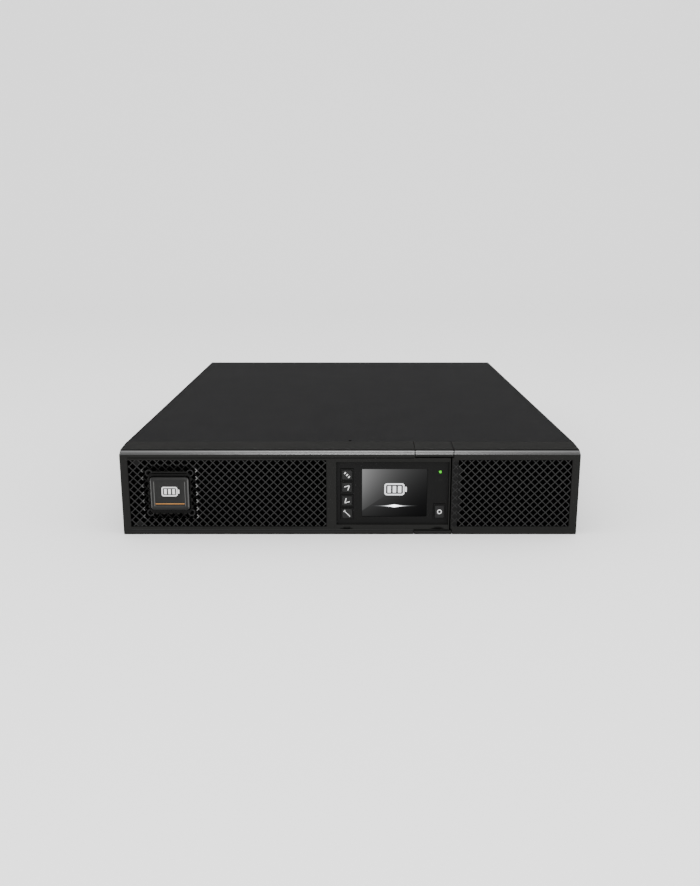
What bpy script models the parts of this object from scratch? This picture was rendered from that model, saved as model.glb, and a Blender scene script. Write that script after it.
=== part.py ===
"""A rack or tower uninterruptible power supply, two rack units high, as an assembly of separate pieces.

Metres, +Z up. The front looks along -Y, +X is to the right of someone facing it, and the origin lies on
the floor under the middle of the whole object. Pieces are grouped under one empty for each moving body,
and each empty stands on its joint's axis.
"""
import math

import bmesh
import bpy

# Case
CASE_WIDTH = 0.430
CASE_HEIGHT = 0.085
CASE_DEPTH = 0.525
SHEET = 0.0012
GAP = 0.0003
BEZEL_DEPTH = 0.027
REAR_FITTINGS = 0.008
TOTAL_DEPTH = BEZEL_DEPTH + CASE_DEPTH + REAR_FITTINGS
FRONT = -TOTAL_DEPTH / 2
CASE_FRONT = FRONT + BEZEL_DEPTH
CASE_BACK = CASE_FRONT + CASE_DEPTH
SIDE = CASE_WIDTH / 2
INSIDE = SIDE - SHEET - GAP
ROOF = CASE_HEIGHT - SHEET - GAP
FLOOR = SHEET + GAP
PILOT_HOLE_SETBACK = 0.0306

# Front: half widths of the bezel at the corners of its section, each (setback, height, half width)
BEZEL_SECTION = (
    (BEZEL_DEPTH, CASE_HEIGHT, 0.21535),
    (0.0015, 0.0835, 0.2150),
    (0.0, 0.0784, 0.21635),
    (0.0, 0.0015, 0.21635),
    (0.0015, 0.0002, 0.2160),
    (BEZEL_DEPTH, 0.0002, 0.21535),
)
BEZEL_WALL = 0.0024
LEFT_BEZEL_END = 0.09465
RIGHT_BEZEL_END = 0.09595
GRILLE_LOW = 0.0075
GRILLE_HIGH = 0.0732
LEFT_GRILLE = (-0.2091, -0.0223)
RIGHT_GRILLE = (0.1020, 0.2090)
GRILLE_SETBACK = (0.0010, 0.0034)

# Badge
BADGE_X = -0.1709
BADGE_Z = 0.0402
BADGE_WIDTH = 0.0367
BADGE_HEIGHT = 0.0326
BADGE_CORNER = 0.0035
POCKET_CENTRE = (-0.1702, 0.0415)
POCKET_SIZE = 0.052
BADGE_TRAY = 0.047
SPINDLE_RADIUS = 0.004

# Display
DISPLAY_X = (-0.0128, 0.0936)
DISPLAY_Z = (0.0094, 0.0712)
DISPLAY_SETBACK = 0.0030
LEDGE_LEFT = 0.0022
LEDGE_LOW = 0.0030
LEDGE_HIGH = 0.0036
LEDGE_DEPTH = 0.0008
WINDOW_X = (0.0115, 0.0729)
WINDOW_Z = (0.0172, 0.0636)
KEY_X = -0.0028
KEY_HEIGHTS = (0.0583, 0.0460, 0.0327, 0.0201)
KEY_NAMES = ("escape_key", "up_key", "down_key", "enter_key")
KEY_SIZE = (0.0100, 0.0096)
POWER_CENTRE = (0.0853, 0.0219)
POWER_SIZE = (0.0092, 0.0128)
LED_CENTRE = (0.0854, 0.0610)
LED_RADIUS = 0.0012
LIP_NOTCHES = (-0.0030, 0.0840)
NOTCH_Z = 0.0064
TAB_X = (0.0611, 0.0972)
TAB_LOW = 0.0766
TAB_HIGH = 0.0036
TAB_CLEARANCE = 0.0012

# Battery drawer
DIVIDER_X = 0.0
TRAY_X = (-0.2115, -0.0030)
TRAY_LENGTH = 0.462
TRAY_START = CASE_FRONT + 0.0040
BLOCK_SIZE = (0.098, 0.151, 0.065)
BLOCK_COLUMNS = (-0.2095, -0.1060)
BLOCK_PITCH = 0.1515
HANDLE_X = (-0.150, -0.070)
HANDLE_Z = (0.034, 0.050)
PLUG_X = (-0.128, -0.092)
PLUG_Z = (0.031, 0.049)

# Power stage
BOARD_Z = (0.0080, 0.0096)
PART_FOOT = BOARD_Z[1] + GAP
CAPACITOR_RADIUS = 0.0175

# Rear
FAN_CENTRES = (0.0885, 0.1705)
FAN_HEIGHT = 0.0422
FAN_SIZE = 0.080
FAN_THICKNESS = 0.025
FAN_BORE = 0.038
FAN_BACK = CASE_BACK - SHEET - GAP
BLADE_COUNT = 7
INLET_CENTRE = (0.018, 0.022)
BREAKER_CENTRE = (0.018, 0.060)
LARGE_OUTLET_CENTRE = (-0.034, 0.0425)
OUTLET_COLUMNS = (-0.124, -0.096, -0.068)
OUTLET_ROWS = {"outlet_block_lower": 0.0258, "outlet_block_upper": 0.0592}
PANEL_SPLIT = -0.0120
SLOT_X = (-0.209, -0.145)
SLOT_Z = (0.0440, 0.0765)
SERIAL_CENTRE = (-0.190, 0.0320)
USB_CENTRE = (-0.158, 0.0320)
BATTERY_PORT_CENTRE = (-0.177, 0.0140)


# ---------------------------------------------------------------------------------------------------
# Tools

def paint(name, colour, roughness, metallic=0.0, glow=0.0):
    """A Principled material; glow above zero makes it light up in its own colour."""
    found = bpy.data.materials.get(name)
    if found:
        return found
    made = bpy.data.materials.new(name)
    made.use_nodes = True
    shader = made.node_tree.nodes["Principled BSDF"]
    shader.inputs["Base Color"].default_value = (*colour, 1.0)
    shader.inputs["Roughness"].default_value = roughness
    shader.inputs["Metallic"].default_value = metallic
    shader.inputs["Emission Color"].default_value = (*colour, 1.0)
    shader.inputs["Emission Strength"].default_value = glow
    return made


def circle(centre, radius, sides):
    """Points of a regular polygon round a centre."""
    step = math.tau / sides
    return [(centre[0] + radius * math.cos(i * step), centre[1] + radius * math.sin(i * step))
            for i in range(sides)]


def rounded(centre, size, radius, steps=3):
    """Outline of a rectangle with round corners."""
    reach_x = size[0] / 2 - radius
    reach_z = size[1] / 2 - radius
    points = []
    for corner, (sx, sz) in enumerate(((1, 1), (-1, 1), (-1, -1), (1, -1))):
        for step in range(steps + 1):
            angle = (corner + step / steps) * math.pi / 2
            points.append((centre[0] + sx * reach_x + radius * math.cos(angle),
                           centre[1] + sz * reach_z + radius * math.sin(angle)))
    return points


def socket_outline(centre, size, chamfer):
    """Outline of a mains coupler: a rectangle with its two upper corners cut off."""
    right = size[0] / 2
    top = size[1] / 2
    corners = ((-right, -top), (right, -top), (right, top - chamfer), (right - chamfer, top),
               (chamfer - right, top), (-right, top - chamfer))
    return [(centre[0] + x, centre[1] + z) for x, z in corners]


def around(centre, size):
    """Two spans of a rectangle given by its centre and its size."""
    return ((centre[0] - size[0] / 2, centre[0] + size[0] / 2),
            (centre[1] - size[1] / 2, centre[1] + size[1] / 2))


def behind_front(near, far):
    """Span in Y between two setbacks from the front plane."""
    return (FRONT + near, FRONT + far)


def behind_panel(inward, outward):
    """Span in Y about the outer face of the rear panel."""
    return (CASE_BACK - inward, CASE_BACK + outward)


class Shape:
    """One mesh under construction, made of closed bodies."""

    def __init__(self):
        self.bm = bmesh.new()

    def stack(self, rings):
        """Closed body through rings with the same number of points."""
        loops = [[self.bm.verts.new(point) for point in ring] for ring in rings]
        count = len(loops[0])
        for low, high in zip(loops, loops[1:]):
            for i in range(count):
                j = (i + 1) % count
                self.bm.faces.new((low[i], low[j], high[j], high[i]))
        self.bm.faces.new(loops[0][::-1])
        self.bm.faces.new(loops[-1])
        return self

    def prism(self, outline, axis, span):
        """Outline extruded along an axis; it lies in the other two axes, in X, Y, Z order."""
        place = {
            "X": lambda a, b, t: (t, a, b),
            "Y": lambda a, b, t: (a, t, b),
            "Z": lambda a, b, t: (a, b, t),
        }[axis]
        return self.stack([[place(a, b, t) for a, b in outline] for t in span])

    def box(self, x, y, z):
        """Box from three spans."""
        return self.prism(((x[0], z[0]), (x[1], z[0]), (x[1], z[1]), (x[0], z[1])), "Y", y)

    def rod(self, centre, radius, axis, span, sides=24):
        """Cylinder along an axis."""
        return self.prism(circle(centre, radius, sides), axis, span)

    def ring(self, centre, inner, outer, axis, span, sides=24):
        """Flat ring: an outer wall, an inner wall and two faces with a hole."""
        place = {
            "Y": lambda a, b, t: (a, t, b),
            "Z": lambda a, b, t: (a, b, t),
        }[axis]
        walls = [(outer, span[0]), (outer, span[1]), (inner, span[1]), (inner, span[0])]
        loops = [[self.bm.verts.new(place(a, b, t)) for a, b in circle(centre, radius, sides)]
                 for radius, t in walls]
        for n in range(4):
            low = loops[n]
            high = loops[(n + 1) % 4]
            for i in range(sides):
                j = (i + 1) % sides
                self.bm.faces.new((low[i], low[j], high[j], high[i]))
        return self

    def build(self, name):
        """Turn the bodies into an object, with every face pointing out."""
        bmesh.ops.recalc_face_normals(self.bm, faces=self.bm.faces)
        mesh = bpy.data.meshes.new(name)
        self.bm.to_mesh(mesh)
        self.bm.free()
        thing = bpy.data.objects.new(name, mesh)
        bpy.context.scene.collection.objects.link(thing)
        return thing


def pivot(name, place, parent=None):
    """Empty that holds one body, on its joint's axis."""
    empty = bpy.data.objects.new(name, None)
    bpy.context.scene.collection.objects.link(empty)
    empty.empty_display_size = 0.02
    empty.parent = parent
    origin = parent.matrix_world.translation if parent else (0.0, 0.0, 0.0)
    empty.location = [a - b for a, b in zip(place, origin)]
    bpy.context.view_layer.update()
    return empty


def piece(name, shape, finish, body, smooth=False):
    """One named sub-part of a body."""
    thing = shape.build(name)
    thing.data.materials.append(finish)
    if smooth:
        thing.data.shade_smooth()
        thing.data.set_sharp_from_angle(angle=math.radians(35))
    thing.parent = body
    thing.matrix_parent_inverse = body.matrix_world.inverted()
    return thing


def shape_with(thing, shape, operation):
    """Boolean modifier on a piece, with a hidden tool object."""
    tool = shape.build(f"tool_{thing.name}_{len(thing.modifiers) + 1}")
    tool.hide_render = True
    tool.display_type = "WIRE"
    step = thing.modifiers.new(operation.lower(), "BOOLEAN")
    step.operation = operation
    step.solver = "EXACT"
    step.object = tool


def cut(thing, shape):
    shape_with(thing, shape, "DIFFERENCE")


def fuse(thing, shape):
    shape_with(thing, shape, "UNION")


# ---------------------------------------------------------------------------------------------------
# Case

def make_case(body, steel, zinc):
    """Chassis pan, front wall, divider, bay rear wall and top cover."""
    depth = (CASE_FRONT, CASE_BACK)
    flange_height = 0.012
    outer = SIDE - SHEET - GAP
    pan = [(-outer, 0), (outer, 0), (outer, flange_height), (outer - SHEET, flange_height),
           (outer - SHEET, SHEET), (SHEET - outer, SHEET), (SHEET - outer, flange_height),
           (-outer, flange_height)]
    piece("chassis_pan", Shape().prism(pan, "Y", depth), steel, body)

    hood = [(-SIDE, GAP), (-SIDE, CASE_HEIGHT), (SIDE, CASE_HEIGHT), (SIDE, GAP), (SIDE - SHEET, GAP),
            (SIDE - SHEET, CASE_HEIGHT - SHEET), (SHEET - SIDE, CASE_HEIGHT - SHEET), (SHEET - SIDE, GAP)]
    cover = piece("top_cover", Shape().prism(hood, "Y", depth), steel, body)
    pilot = (0.0, FRONT + PILOT_HOLE_SETBACK)
    cut(cover, Shape().rod(pilot, 0.001, "Z", (ROOF, CASE_HEIGHT + SHEET), 12))

    inner = INSIDE - SHEET - GAP
    wall_y = (CASE_FRONT, CASE_FRONT + SHEET)
    wall = piece("front_wall", Shape().box((-inner, inner), wall_y, (FLOOR, ROOF)), zinc, body)
    through = (CASE_FRONT - SHEET, CASE_FRONT + 2 * SHEET)
    cut(wall, Shape().box((TRAY_X[0] - 0.0005, TRAY_X[1] + 0.0005), through, (0.0022, 0.0760)))
    slots = Shape()
    for column in range(8):
        left = 0.106 + column * 0.012
        slots.box((left, left + 0.006), through, (0.012, 0.070))
    cut(wall, slots)

    inward = (CASE_FRONT + SHEET + GAP, CASE_FRONT + 0.482)
    divider = Shape().box((DIVIDER_X, DIVIDER_X + SHEET), inward, (FLOOR, ROOF))
    piece("bay_divider", divider, zinc, body)

    rear_y = (inward[1] + GAP, inward[1] + GAP + SHEET)
    sheet = Shape().box((-inner, DIVIDER_X + SHEET), rear_y, (FLOOR, 0.060))
    stop = piece("bay_rear_wall", sheet, zinc, body)
    hole = ((PLUG_X[0] - 0.0025, PLUG_X[1] + 0.0025), (PLUG_Z[0] - 0.0025, PLUG_Z[1] + 0.0025))
    cut(stop, Shape().box(hole[0], (rear_y[0] - SHEET, rear_y[1] + SHEET), hole[1]))
    socket_y = (TRAY_START + TRAY_LENGTH + 0.0125, rear_y[1] + 0.009)
    socket_box = around(((PLUG_X[0] + PLUG_X[1]) / 2, (PLUG_Z[0] + PLUG_Z[1]) / 2), (0.040, 0.022))
    black = paint("contact_plastic", (0.03, 0.03, 0.03), 0.5)
    piece("battery_socket", Shape().box(socket_box[0], socket_y, socket_box[1]), black, body)


# ---------------------------------------------------------------------------------------------------
# Front

def bezel_hull(inner_end, side):
    """Outer shape of one bezel, from its inner end to the outside of the case on one side."""
    inner = [(inner_end, FRONT + setback, height) for setback, height, _ in BEZEL_SECTION]
    outer = [(side * half, FRONT + setback, height) for setback, height, half in BEZEL_SECTION]
    shape = Shape().stack([inner, outer])
    bmesh.ops.triangulate(shape.bm, faces=[face for face in shape.bm.faces if len(face.verts) > 4])
    return shape


def bezel_hollow(x):
    """Room behind the bezel's front wall."""
    return Shape().box(x, behind_front(BEZEL_WALL, BEZEL_DEPTH + 0.001), (0.0024, 0.0812))


def tab_slots(x):
    """Two cuts that leave the release tabs free."""
    deep = behind_front(-0.001, BEZEL_DEPTH + 0.001)
    shape = Shape().box(x, deep, (TAB_LOW - TAB_CLEARANCE, CASE_HEIGHT + 0.001))
    return shape.box(x, deep, (-0.001, TAB_HIGH + TAB_CLEARANCE))


def make_right_front(body, plastic):
    """Fixed bezel in front of the power stage, and its grille."""
    bezel = piece("right_bezel", bezel_hull(RIGHT_BEZEL_END, 1), plastic, body)
    cut(bezel, bezel_hollow((RIGHT_BEZEL_END + BEZEL_WALL, SIDE - BEZEL_WALL)))
    cut(bezel, tab_slots((RIGHT_BEZEL_END - 0.001, TAB_X[1] + GAP)))
    cut(bezel, Shape().box(RIGHT_GRILLE, behind_front(-0.001, 0.005), (GRILLE_LOW, GRILLE_HIGH)))
    x = (RIGHT_GRILLE[0] + GAP, RIGHT_GRILLE[1] - GAP)
    plate = Shape().box(x, behind_front(*GRILLE_SETBACK), (GRILLE_LOW + GAP, GRILLE_HIGH - GAP))
    piece("right_grille", plate, plastic, body)


def make_left_front(body, plastic):
    """Pull-off bezel with its grille, badge pocket and display recess."""
    bezel = piece("left_bezel", bezel_hull(LEFT_BEZEL_END, -1), plastic, body)
    cut(bezel, bezel_hollow((BEZEL_WALL - SIDE, LEFT_BEZEL_END - BEZEL_WALL)))
    cut(bezel, tab_slots((TAB_X[0] - GAP, LEFT_BEZEL_END + 0.001)))
    windows = Shape().box(LEFT_GRILLE, behind_front(-0.001, 0.005), (GRILLE_LOW, GRILLE_HIGH))
    windows.box(DISPLAY_X, behind_front(-0.001, 0.005), DISPLAY_Z)
    cut(bezel, windows)
    cut(bezel, display_ledge())
    notches = Shape()
    for x in LIP_NOTCHES:
        outline = rounded((x, NOTCH_Z), (0.0070, 0.0022), 0.0010)
        notches.prism(outline, "Y", behind_front(-0.001, 0.0014))
    cut(bezel, notches)

    x = (LEFT_GRILLE[0] + GAP, LEFT_GRILLE[1] - GAP)
    plate = Shape().box(x, behind_front(*GRILLE_SETBACK), (GRILLE_LOW + GAP, GRILLE_HIGH - GAP))
    grille = piece("left_grille", plate, plastic, body)
    outside = around(POCKET_CENTRE, (POCKET_SIZE + 0.004, POCKET_SIZE + 0.004))
    inside = around(POCKET_CENTRE, (POCKET_SIZE, POCKET_SIZE))
    fuse(grille, Shape().box(outside[0], behind_front(0.0012, 0.0070), outside[1]))
    cut(grille, Shape().box(inside[0], behind_front(-0.001, 0.0046), inside[1]))


def display_ledge():
    """Wedge that slopes the bezel's face in towards the display on three sides."""
    rings = []
    for setback, grow in ((-0.1 * LEDGE_DEPTH, 1.1), (1.1 * LEDGE_DEPTH, -0.1)):
        low = (DISPLAY_X[0] - grow * LEDGE_LEFT, DISPLAY_Z[0] - grow * LEDGE_LOW)
        high = (DISPLAY_X[1] - GAP, DISPLAY_Z[1] + grow * LEDGE_HIGH)
        rings.append([(x, FRONT + setback, z) for x, z in (low, (high[0], low[1]), high, (low[0], high[1]))])
    return Shape().stack(rings)


def make_badge(cover, badge, plastic, trim):
    """Badge that turns on a spindle, so that it reads right in a rack and as a tower."""
    centre = (BADGE_X, BADGE_Z)
    tray = Shape().prism(rounded(centre, (BADGE_TRAY, BADGE_TRAY), 0.006), "Y", behind_front(0.0029, 0.0043))
    seat = piece("badge_tray", tray, plastic, cover)
    cut(seat, Shape().rod(centre, SPINDLE_RADIUS + 0.0004, "Y", behind_front(0.002, 0.005)))
    outline = rounded(centre, (BADGE_WIDTH, BADGE_HEIGHT), BADGE_CORNER)
    plate = piece("badge_plate", Shape().prism(outline, "Y", behind_front(0.0002, 0.0026)), trim, badge)
    fuse(plate, Shape().rod(centre, SPINDLE_RADIUS, "Y", behind_front(0.0020, 0.0041)))


def make_display(cover, keys, power, plastic, black, glass, glow):
    """Panel, window, screen, board, lamp and five buttons."""
    x = (DISPLAY_X[0] + GAP, DISPLAY_X[1] - GAP)
    z = (DISPLAY_Z[0] + GAP, DISPLAY_Z[1] - GAP)
    panel = piece("display_panel", Shape().box(x, behind_front(DISPLAY_SETBACK, 0.005), z), plastic, cover)
    deep = behind_front(0.002, 0.006)
    holes = Shape().box((WINDOW_X[0] - GAP, WINDOW_X[1] + GAP), deep, (WINDOW_Z[0] - GAP, WINDOW_Z[1] + GAP))
    for height in KEY_HEIGHTS:
        holes.prism(rounded((KEY_X, height), KEY_SIZE, 0.001), "Y", deep)
    holes.prism(rounded(POWER_CENTRE, POWER_SIZE, 0.001), "Y", deep)
    holes.rod(LED_CENTRE, LED_RADIUS + GAP, "Y", deep, 16)
    cut(panel, holes)
    piece("display_window", Shape().box(WINDOW_X, behind_front(0.0034, 0.0048), WINDOW_Z), glass, cover)
    screen = Shape().box((0.009, 0.075), behind_front(0.0053, 0.0115), (0.014, 0.068))
    piece("lcd_module", screen, black, cover)
    board = Shape().box((-0.0120, 0.0918), behind_front(0.0118, 0.0134), (0.012, 0.0697))
    piece("display_board", board, paint("board_green", (0.02, 0.13, 0.06), 0.5), cover)
    lens = Shape().rod(LED_CENTRE, LED_RADIUS, "Y", behind_front(0.0026, 0.0070), 16)
    piece("led_lens", lens, glow, cover, smooth=True)
    for name, height, body in zip(KEY_NAMES, KEY_HEIGHTS, keys):
        make_button(name, (KEY_X, height), KEY_SIZE, body, black)
    make_button("power_button", POWER_CENTRE, POWER_SIZE, power, black)


def make_button(name, centre, hole, body, finish):
    """Cap with a collar behind the panel that keeps it from falling out."""
    cap_size = (hole[0] - 2 * GAP, hole[1] - 2 * GAP)
    collar_size = (hole[0] + 0.002, hole[1] + 0.002)
    cap = Shape().prism(rounded(centre, cap_size, 0.0008), "Y", behind_front(0.0022, 0.0080))
    button = piece(name, cap, finish, body)
    collar = around(centre, collar_size)
    fuse(button, Shape().box(collar[0], behind_front(0.0054, 0.0066), collar[1]))


def make_tabs(upper, lower, plastic):
    """Two tabs, pinched to free the pull-off front; each follows the bezel's section."""
    wall = 0.0024
    _, top_edge, face_edge, low_edge, under_edge, _ = BEZEL_SECTION
    high = [(FRONT + BEZEL_DEPTH, CASE_HEIGHT), (FRONT + top_edge[0], top_edge[1]),
            (FRONT, face_edge[1]), (FRONT, TAB_LOW), (FRONT + wall, TAB_LOW),
            (FRONT + wall, top_edge[1] - wall), (FRONT + BEZEL_DEPTH, CASE_HEIGHT - wall)]
    piece("upper_release_tab", Shape().prism(high, "X", TAB_X), plastic, upper)
    base = under_edge[1]
    low = [(FRONT + BEZEL_DEPTH, base), (FRONT + under_edge[0], base), (FRONT, low_edge[1]),
           (FRONT, TAB_HIGH), (FRONT + wall, TAB_HIGH), (FRONT + wall, base + wall),
           (FRONT + BEZEL_DEPTH, base + wall)]
    piece("lower_release_tab", Shape().prism(low, "X", TAB_X), plastic, lower)


# ---------------------------------------------------------------------------------------------------
# Battery drawer

def make_battery(body, zinc, block_grey, black):
    """Tray with six blocks laid on their sides, faceplate, handle and plug."""
    left, right = TRAY_X
    floor_z = 0.0030
    wall_z = 0.045
    tray_y = (TRAY_START, TRAY_START + TRAY_LENGTH)
    tray = piece("battery_tray", Shape().box((left, right), tray_y, (floor_z, wall_z)), zinc, body)
    room = Shape().box((left + SHEET, right - SHEET), (tray_y[0] - SHEET, tray_y[1] - SHEET),
                       (floor_z + SHEET, wall_z + SHEET))
    cut(tray, room)

    number = 1
    for row in range(3):
        near = TRAY_START + 0.002 + row * BLOCK_PITCH
        for column in BLOCK_COLUMNS:
            low = floor_z + SHEET + GAP
            block = Shape().box((column, column + BLOCK_SIZE[0]), (near, near + BLOCK_SIZE[1]),
                                (low, low + BLOCK_SIZE[2]))
            piece(f"battery_block_{number}", block, block_grey, body)
            number += 1

    plate_y = (CASE_FRONT - GAP - SHEET, CASE_FRONT - GAP)
    plate = Shape().box((left - 0.0006, right + 0.0020), plate_y, (0.0028, 0.0790))
    face = piece("battery_faceplate", plate, zinc, body)
    tongue = Shape().box((left + 0.004, right - 0.004), (plate_y[0], TRAY_START - GAP), (0.0045, 0.0057))
    fuse(face, tongue)

    grip = Shape().box(HANDLE_X, behind_front(0.0100, 0.0252), HANDLE_Z)
    handle = piece("battery_handle", grip, black, body)
    finger_gap = (HANDLE_X[0] + 0.008, HANDLE_X[1] - 0.008)
    through = (HANDLE_Z[0] - 0.001, HANDLE_Z[1] + 0.001)
    cut(handle, Shape().box(finger_gap, behind_front(0.0130, 0.0260), through))

    plug_y = (tray_y[1] + GAP, tray_y[1] + 0.0122)
    piece("battery_plug", Shape().box(PLUG_X, plug_y, PLUG_Z), black, body)


# ---------------------------------------------------------------------------------------------------
# Power stage

def comb(left, fins, pitch, fin, base_z, base, top):
    """Outline of a finned heat sink."""
    right = left + (fins - 1) * pitch + fin
    points = [(right, base_z), (left, base_z)]
    for index in range(fins):
        start = left + index * pitch
        points += [(start, top), (start + fin, top)]
        if index < fins - 1:
            points += [(start + fin, base_z + base), (start + pitch, base_z + base)]
    return points


def make_power_stage(body, aluminium, copper, core, sleeve):
    """Main board and what stands on it."""
    board_y = (CASE_FRONT + 0.020, CASE_BACK - 0.045)
    green = paint("board_green", (0.02, 0.13, 0.06), 0.5)
    piece("main_board", Shape().box((0.006, 0.208), board_y, BOARD_Z), green, body)
    for number, left in enumerate((0.012, 0.148), start=1):
        outline = comb(left, 8, 0.0072, 0.0016, PART_FOOT, 0.005, 0.070)
        sink = Shape().prism(outline, "Y", (CASE_FRONT + 0.060, CASE_FRONT + 0.220))
        piece(f"heat_sink_{number}", sink, aluminium, body)
    middle = 0.105
    for number in range(1, 3):
        centre = (middle, CASE_FRONT + 0.060 + number * 0.045)
        can = Shape().rod(centre, CAPACITOR_RADIUS, "Z", (PART_FOOT, PART_FOOT + 0.052))
        piece(f"bulk_capacitor_{number}", can, sleeve, body, smooth=True)
    for name, setback in (("boost_choke", 0.235), ("output_choke", 0.300)):
        centre = (middle, CASE_FRONT + setback)
        choke = Shape().ring(centre, 0.012, 0.026, "Z", (PART_FOOT, PART_FOOT + 0.026))
        piece(name, choke, copper, body, smooth=True)
    start = CASE_FRONT + 0.260
    iron = Shape().box((0.020, 0.078), (start, start + 0.030), (PART_FOOT, 0.066))
    transformer = piece("transformer", iron, core, body)
    fuse(transformer, Shape().box((0.030, 0.068), (start - 0.012, start + 0.042), (0.018, 0.058)))


# ---------------------------------------------------------------------------------------------------
# Rear

def make_rear_panels(body, steel):
    """Two sheets side by side, one behind the power stage and one behind the battery bay."""
    inner = INSIDE - SHEET - GAP
    y = (CASE_BACK - SHEET, CASE_BACK)
    z = (FLOOR, ROOF)
    through = behind_panel(2 * SHEET, SHEET)

    panel = piece("rear_panel", Shape().box((PANEL_SPLIT, inner), y, z), steel, body)
    holes = Shape().box(*hole_for(INLET_CENTRE, (0.046, 0.027), through))
    for x in FAN_CENTRES:
        holes.rod((x, FAN_HEIGHT), FAN_BORE - 0.0005, "Y", through, 32)
    holes.rod(BREAKER_CENTRE, 0.0058, "Y", through, 16)
    cut(panel, holes)

    panel = piece("socket_panel", Shape().box((-inner, PANEL_SPLIT - GAP), y, z), steel, body)
    low, high = sorted(OUTLET_ROWS.values())
    middle = (OUTLET_COLUMNS[1], (low + high) / 2)
    slot_centre = ((SLOT_X[0] + SLOT_X[1]) / 2, (SLOT_Z[0] + SLOT_Z[1]) / 2)
    holes = Shape()
    for centre, size in ((LARGE_OUTLET_CENTRE, (0.030, 0.040)), (SERIAL_CENTRE, (0.019, 0.010)),
                         (USB_CENTRE, (0.012, 0.011)), (BATTERY_PORT_CENTRE, (0.044, 0.013)),
                         (middle, (0.080, 0.029 + high - low)), (slot_centre, (0.052, 0.024))):
        holes.box(*hole_for(centre, size, through))
    cut(panel, holes)


def hole_for(centre, size, through):
    """Spans of a cut-out that clears a fitting of that size all round."""
    return spans(centre, (size[0] + 2 * GAP, size[1] + 2 * GAP), through)


def make_fan(number, x, chassis, rotor_body, black, wire):
    """Frame with its stator, rotor and finger guard."""
    centre = (x, FAN_HEIGHT)
    span = (FAN_BACK - FAN_THICKNESS, FAN_BACK)
    square = around(centre, (FAN_SIZE, FAN_SIZE))
    frame = piece(f"fan_frame_{number}", Shape().box(square[0], span, square[1]), black, chassis)
    cut(frame, Shape().rod(centre, FAN_BORE, "Y", (span[0] - 0.001, span[1] + 0.001), 32))
    stator_y = (span[1] - 0.003, span[1])
    arm = 0.0022
    fuse(frame, Shape().box((x - 0.0385, x + 0.0385), stator_y, (FAN_HEIGHT - arm, FAN_HEIGHT + arm)))
    fuse(frame, Shape().box((x - arm, x + arm), stator_y, (FAN_HEIGHT - 0.0385, FAN_HEIGHT + 0.0385)))
    fuse(frame, Shape().rod(centre, 0.016, "Y", stator_y, 20))

    hub_y = (span[0] + 0.002, span[1] - 0.0036)
    rotor = piece(f"fan_rotor_{number}", Shape().rod(centre, 0.0155, "Y", hub_y, 28), black, rotor_body)
    blades = Shape()
    for index in range(BLADE_COUNT):
        add_blade(blades, centre, (span[0] + span[1]) / 2 - 0.001, index * math.tau / BLADE_COUNT)
    fuse(rotor, blades)

    guard_y = behind_panel(-GAP, 0.0022)
    rim = Shape().ring(centre, 0.0372, 0.0390, "Y", guard_y, 28)
    guard = piece(f"fan_guard_{number}", rim, wire, chassis)
    half = 0.0009
    reach = 0.0390
    fuse(guard, Shape().box((x - reach, x + reach), guard_y, (FAN_HEIGHT - half, FAN_HEIGHT + half)))
    fuse(guard, Shape().box((x - half, x + half), guard_y, (FAN_HEIGHT - reach, FAN_HEIGHT + reach)))
    rings = Shape()
    for radius in (0.010, 0.019, 0.028):
        rings.ring(centre, radius - half, radius + half, "Y", guard_y, 20)
    fuse(guard, rings)


def add_blade(shape, centre, middle_y, turn):
    """Flat pitched blade from inside the hub to just short of the bore."""
    pitch = math.radians(38)
    out = (math.cos(turn), math.sin(turn))
    tangent = (-out[1], out[0])
    sections = []
    for radius, chord in ((0.0135, 0.011), (0.0360, 0.021)):
        section = []
        for along, across in ((-1, -1), (1, -1), (1, 1), (-1, 1)):
            u = along * chord / 2
            w = across * 0.0006
            swing = u * math.cos(pitch) - w * math.sin(pitch)
            rise = u * math.sin(pitch) + w * math.cos(pitch)
            section.append((centre[0] + out[0] * radius + tangent[0] * swing, middle_y + rise,
                            centre[1] + out[1] * radius + tangent[1] * swing))
        sections.append(section)
    shape.stack(sections)


def flanged_block(name, centre, body_size, flange_size, depth, finish, body):
    """Snap-in fitting: a block through the panel and a flange outside it."""
    x, z = around(centre, body_size)
    block = piece(name, Shape().box(x, behind_panel(depth, 0.0022), z), finish, body)
    x, z = around(centre, flange_size)
    fuse(block, Shape().box(x, behind_panel(-GAP, 0.0025), z))
    return block


def make_outlets(body, black):
    """Groups of outlets: a groove round each insert takes the plug's shroud."""
    for name, height in OUTLET_ROWS.items():
        block = flanged_block(name, (OUTLET_COLUMNS[1], height), (0.080, 0.029), (0.084, 0.033), 0.024,
                              black, body)
        cut_sockets(block, [(x, height) for x in OUTLET_COLUMNS], (0.0238, 0.0165), 0.0018, 0.0040)
    block = flanged_block("large_outlet", LARGE_OUTLET_CENTRE, (0.030, 0.040), (0.034, 0.044), 0.030,
                          black, body)
    cut_sockets(block, [LARGE_OUTLET_CENTRE], (0.0250, 0.0310), 0.0020, 0.0020)


def cut_sockets(block, centres, size, groove, chamfer):
    """Cut a groove and three contact slots for each socket in a block."""
    inner_size = (size[0] - 2 * groove, size[1] - 2 * groove)
    moats = Shape()
    inserts = Shape()
    slots = Shape()
    for centre in centres:
        moats.prism(socket_outline(centre, size, chamfer), "Y", behind_panel(0.012, 0.004))
        inserts.prism(socket_outline(centre, inner_size, chamfer * 0.8), "Y", behind_panel(0.0125, 0.0020))
        for offset in ((-0.0070, -0.0015), (0.0, 0.0025), (0.0070, -0.0015)):
            spot = (centre[0] + offset[0], centre[1] + offset[1])
            x, z = around(spot, (0.0022, 0.0060))
            slots.box(x, behind_panel(0.009, 0.004), z)
    cut(block, moats)
    fuse(block, inserts)
    cut(block, slots)


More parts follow.
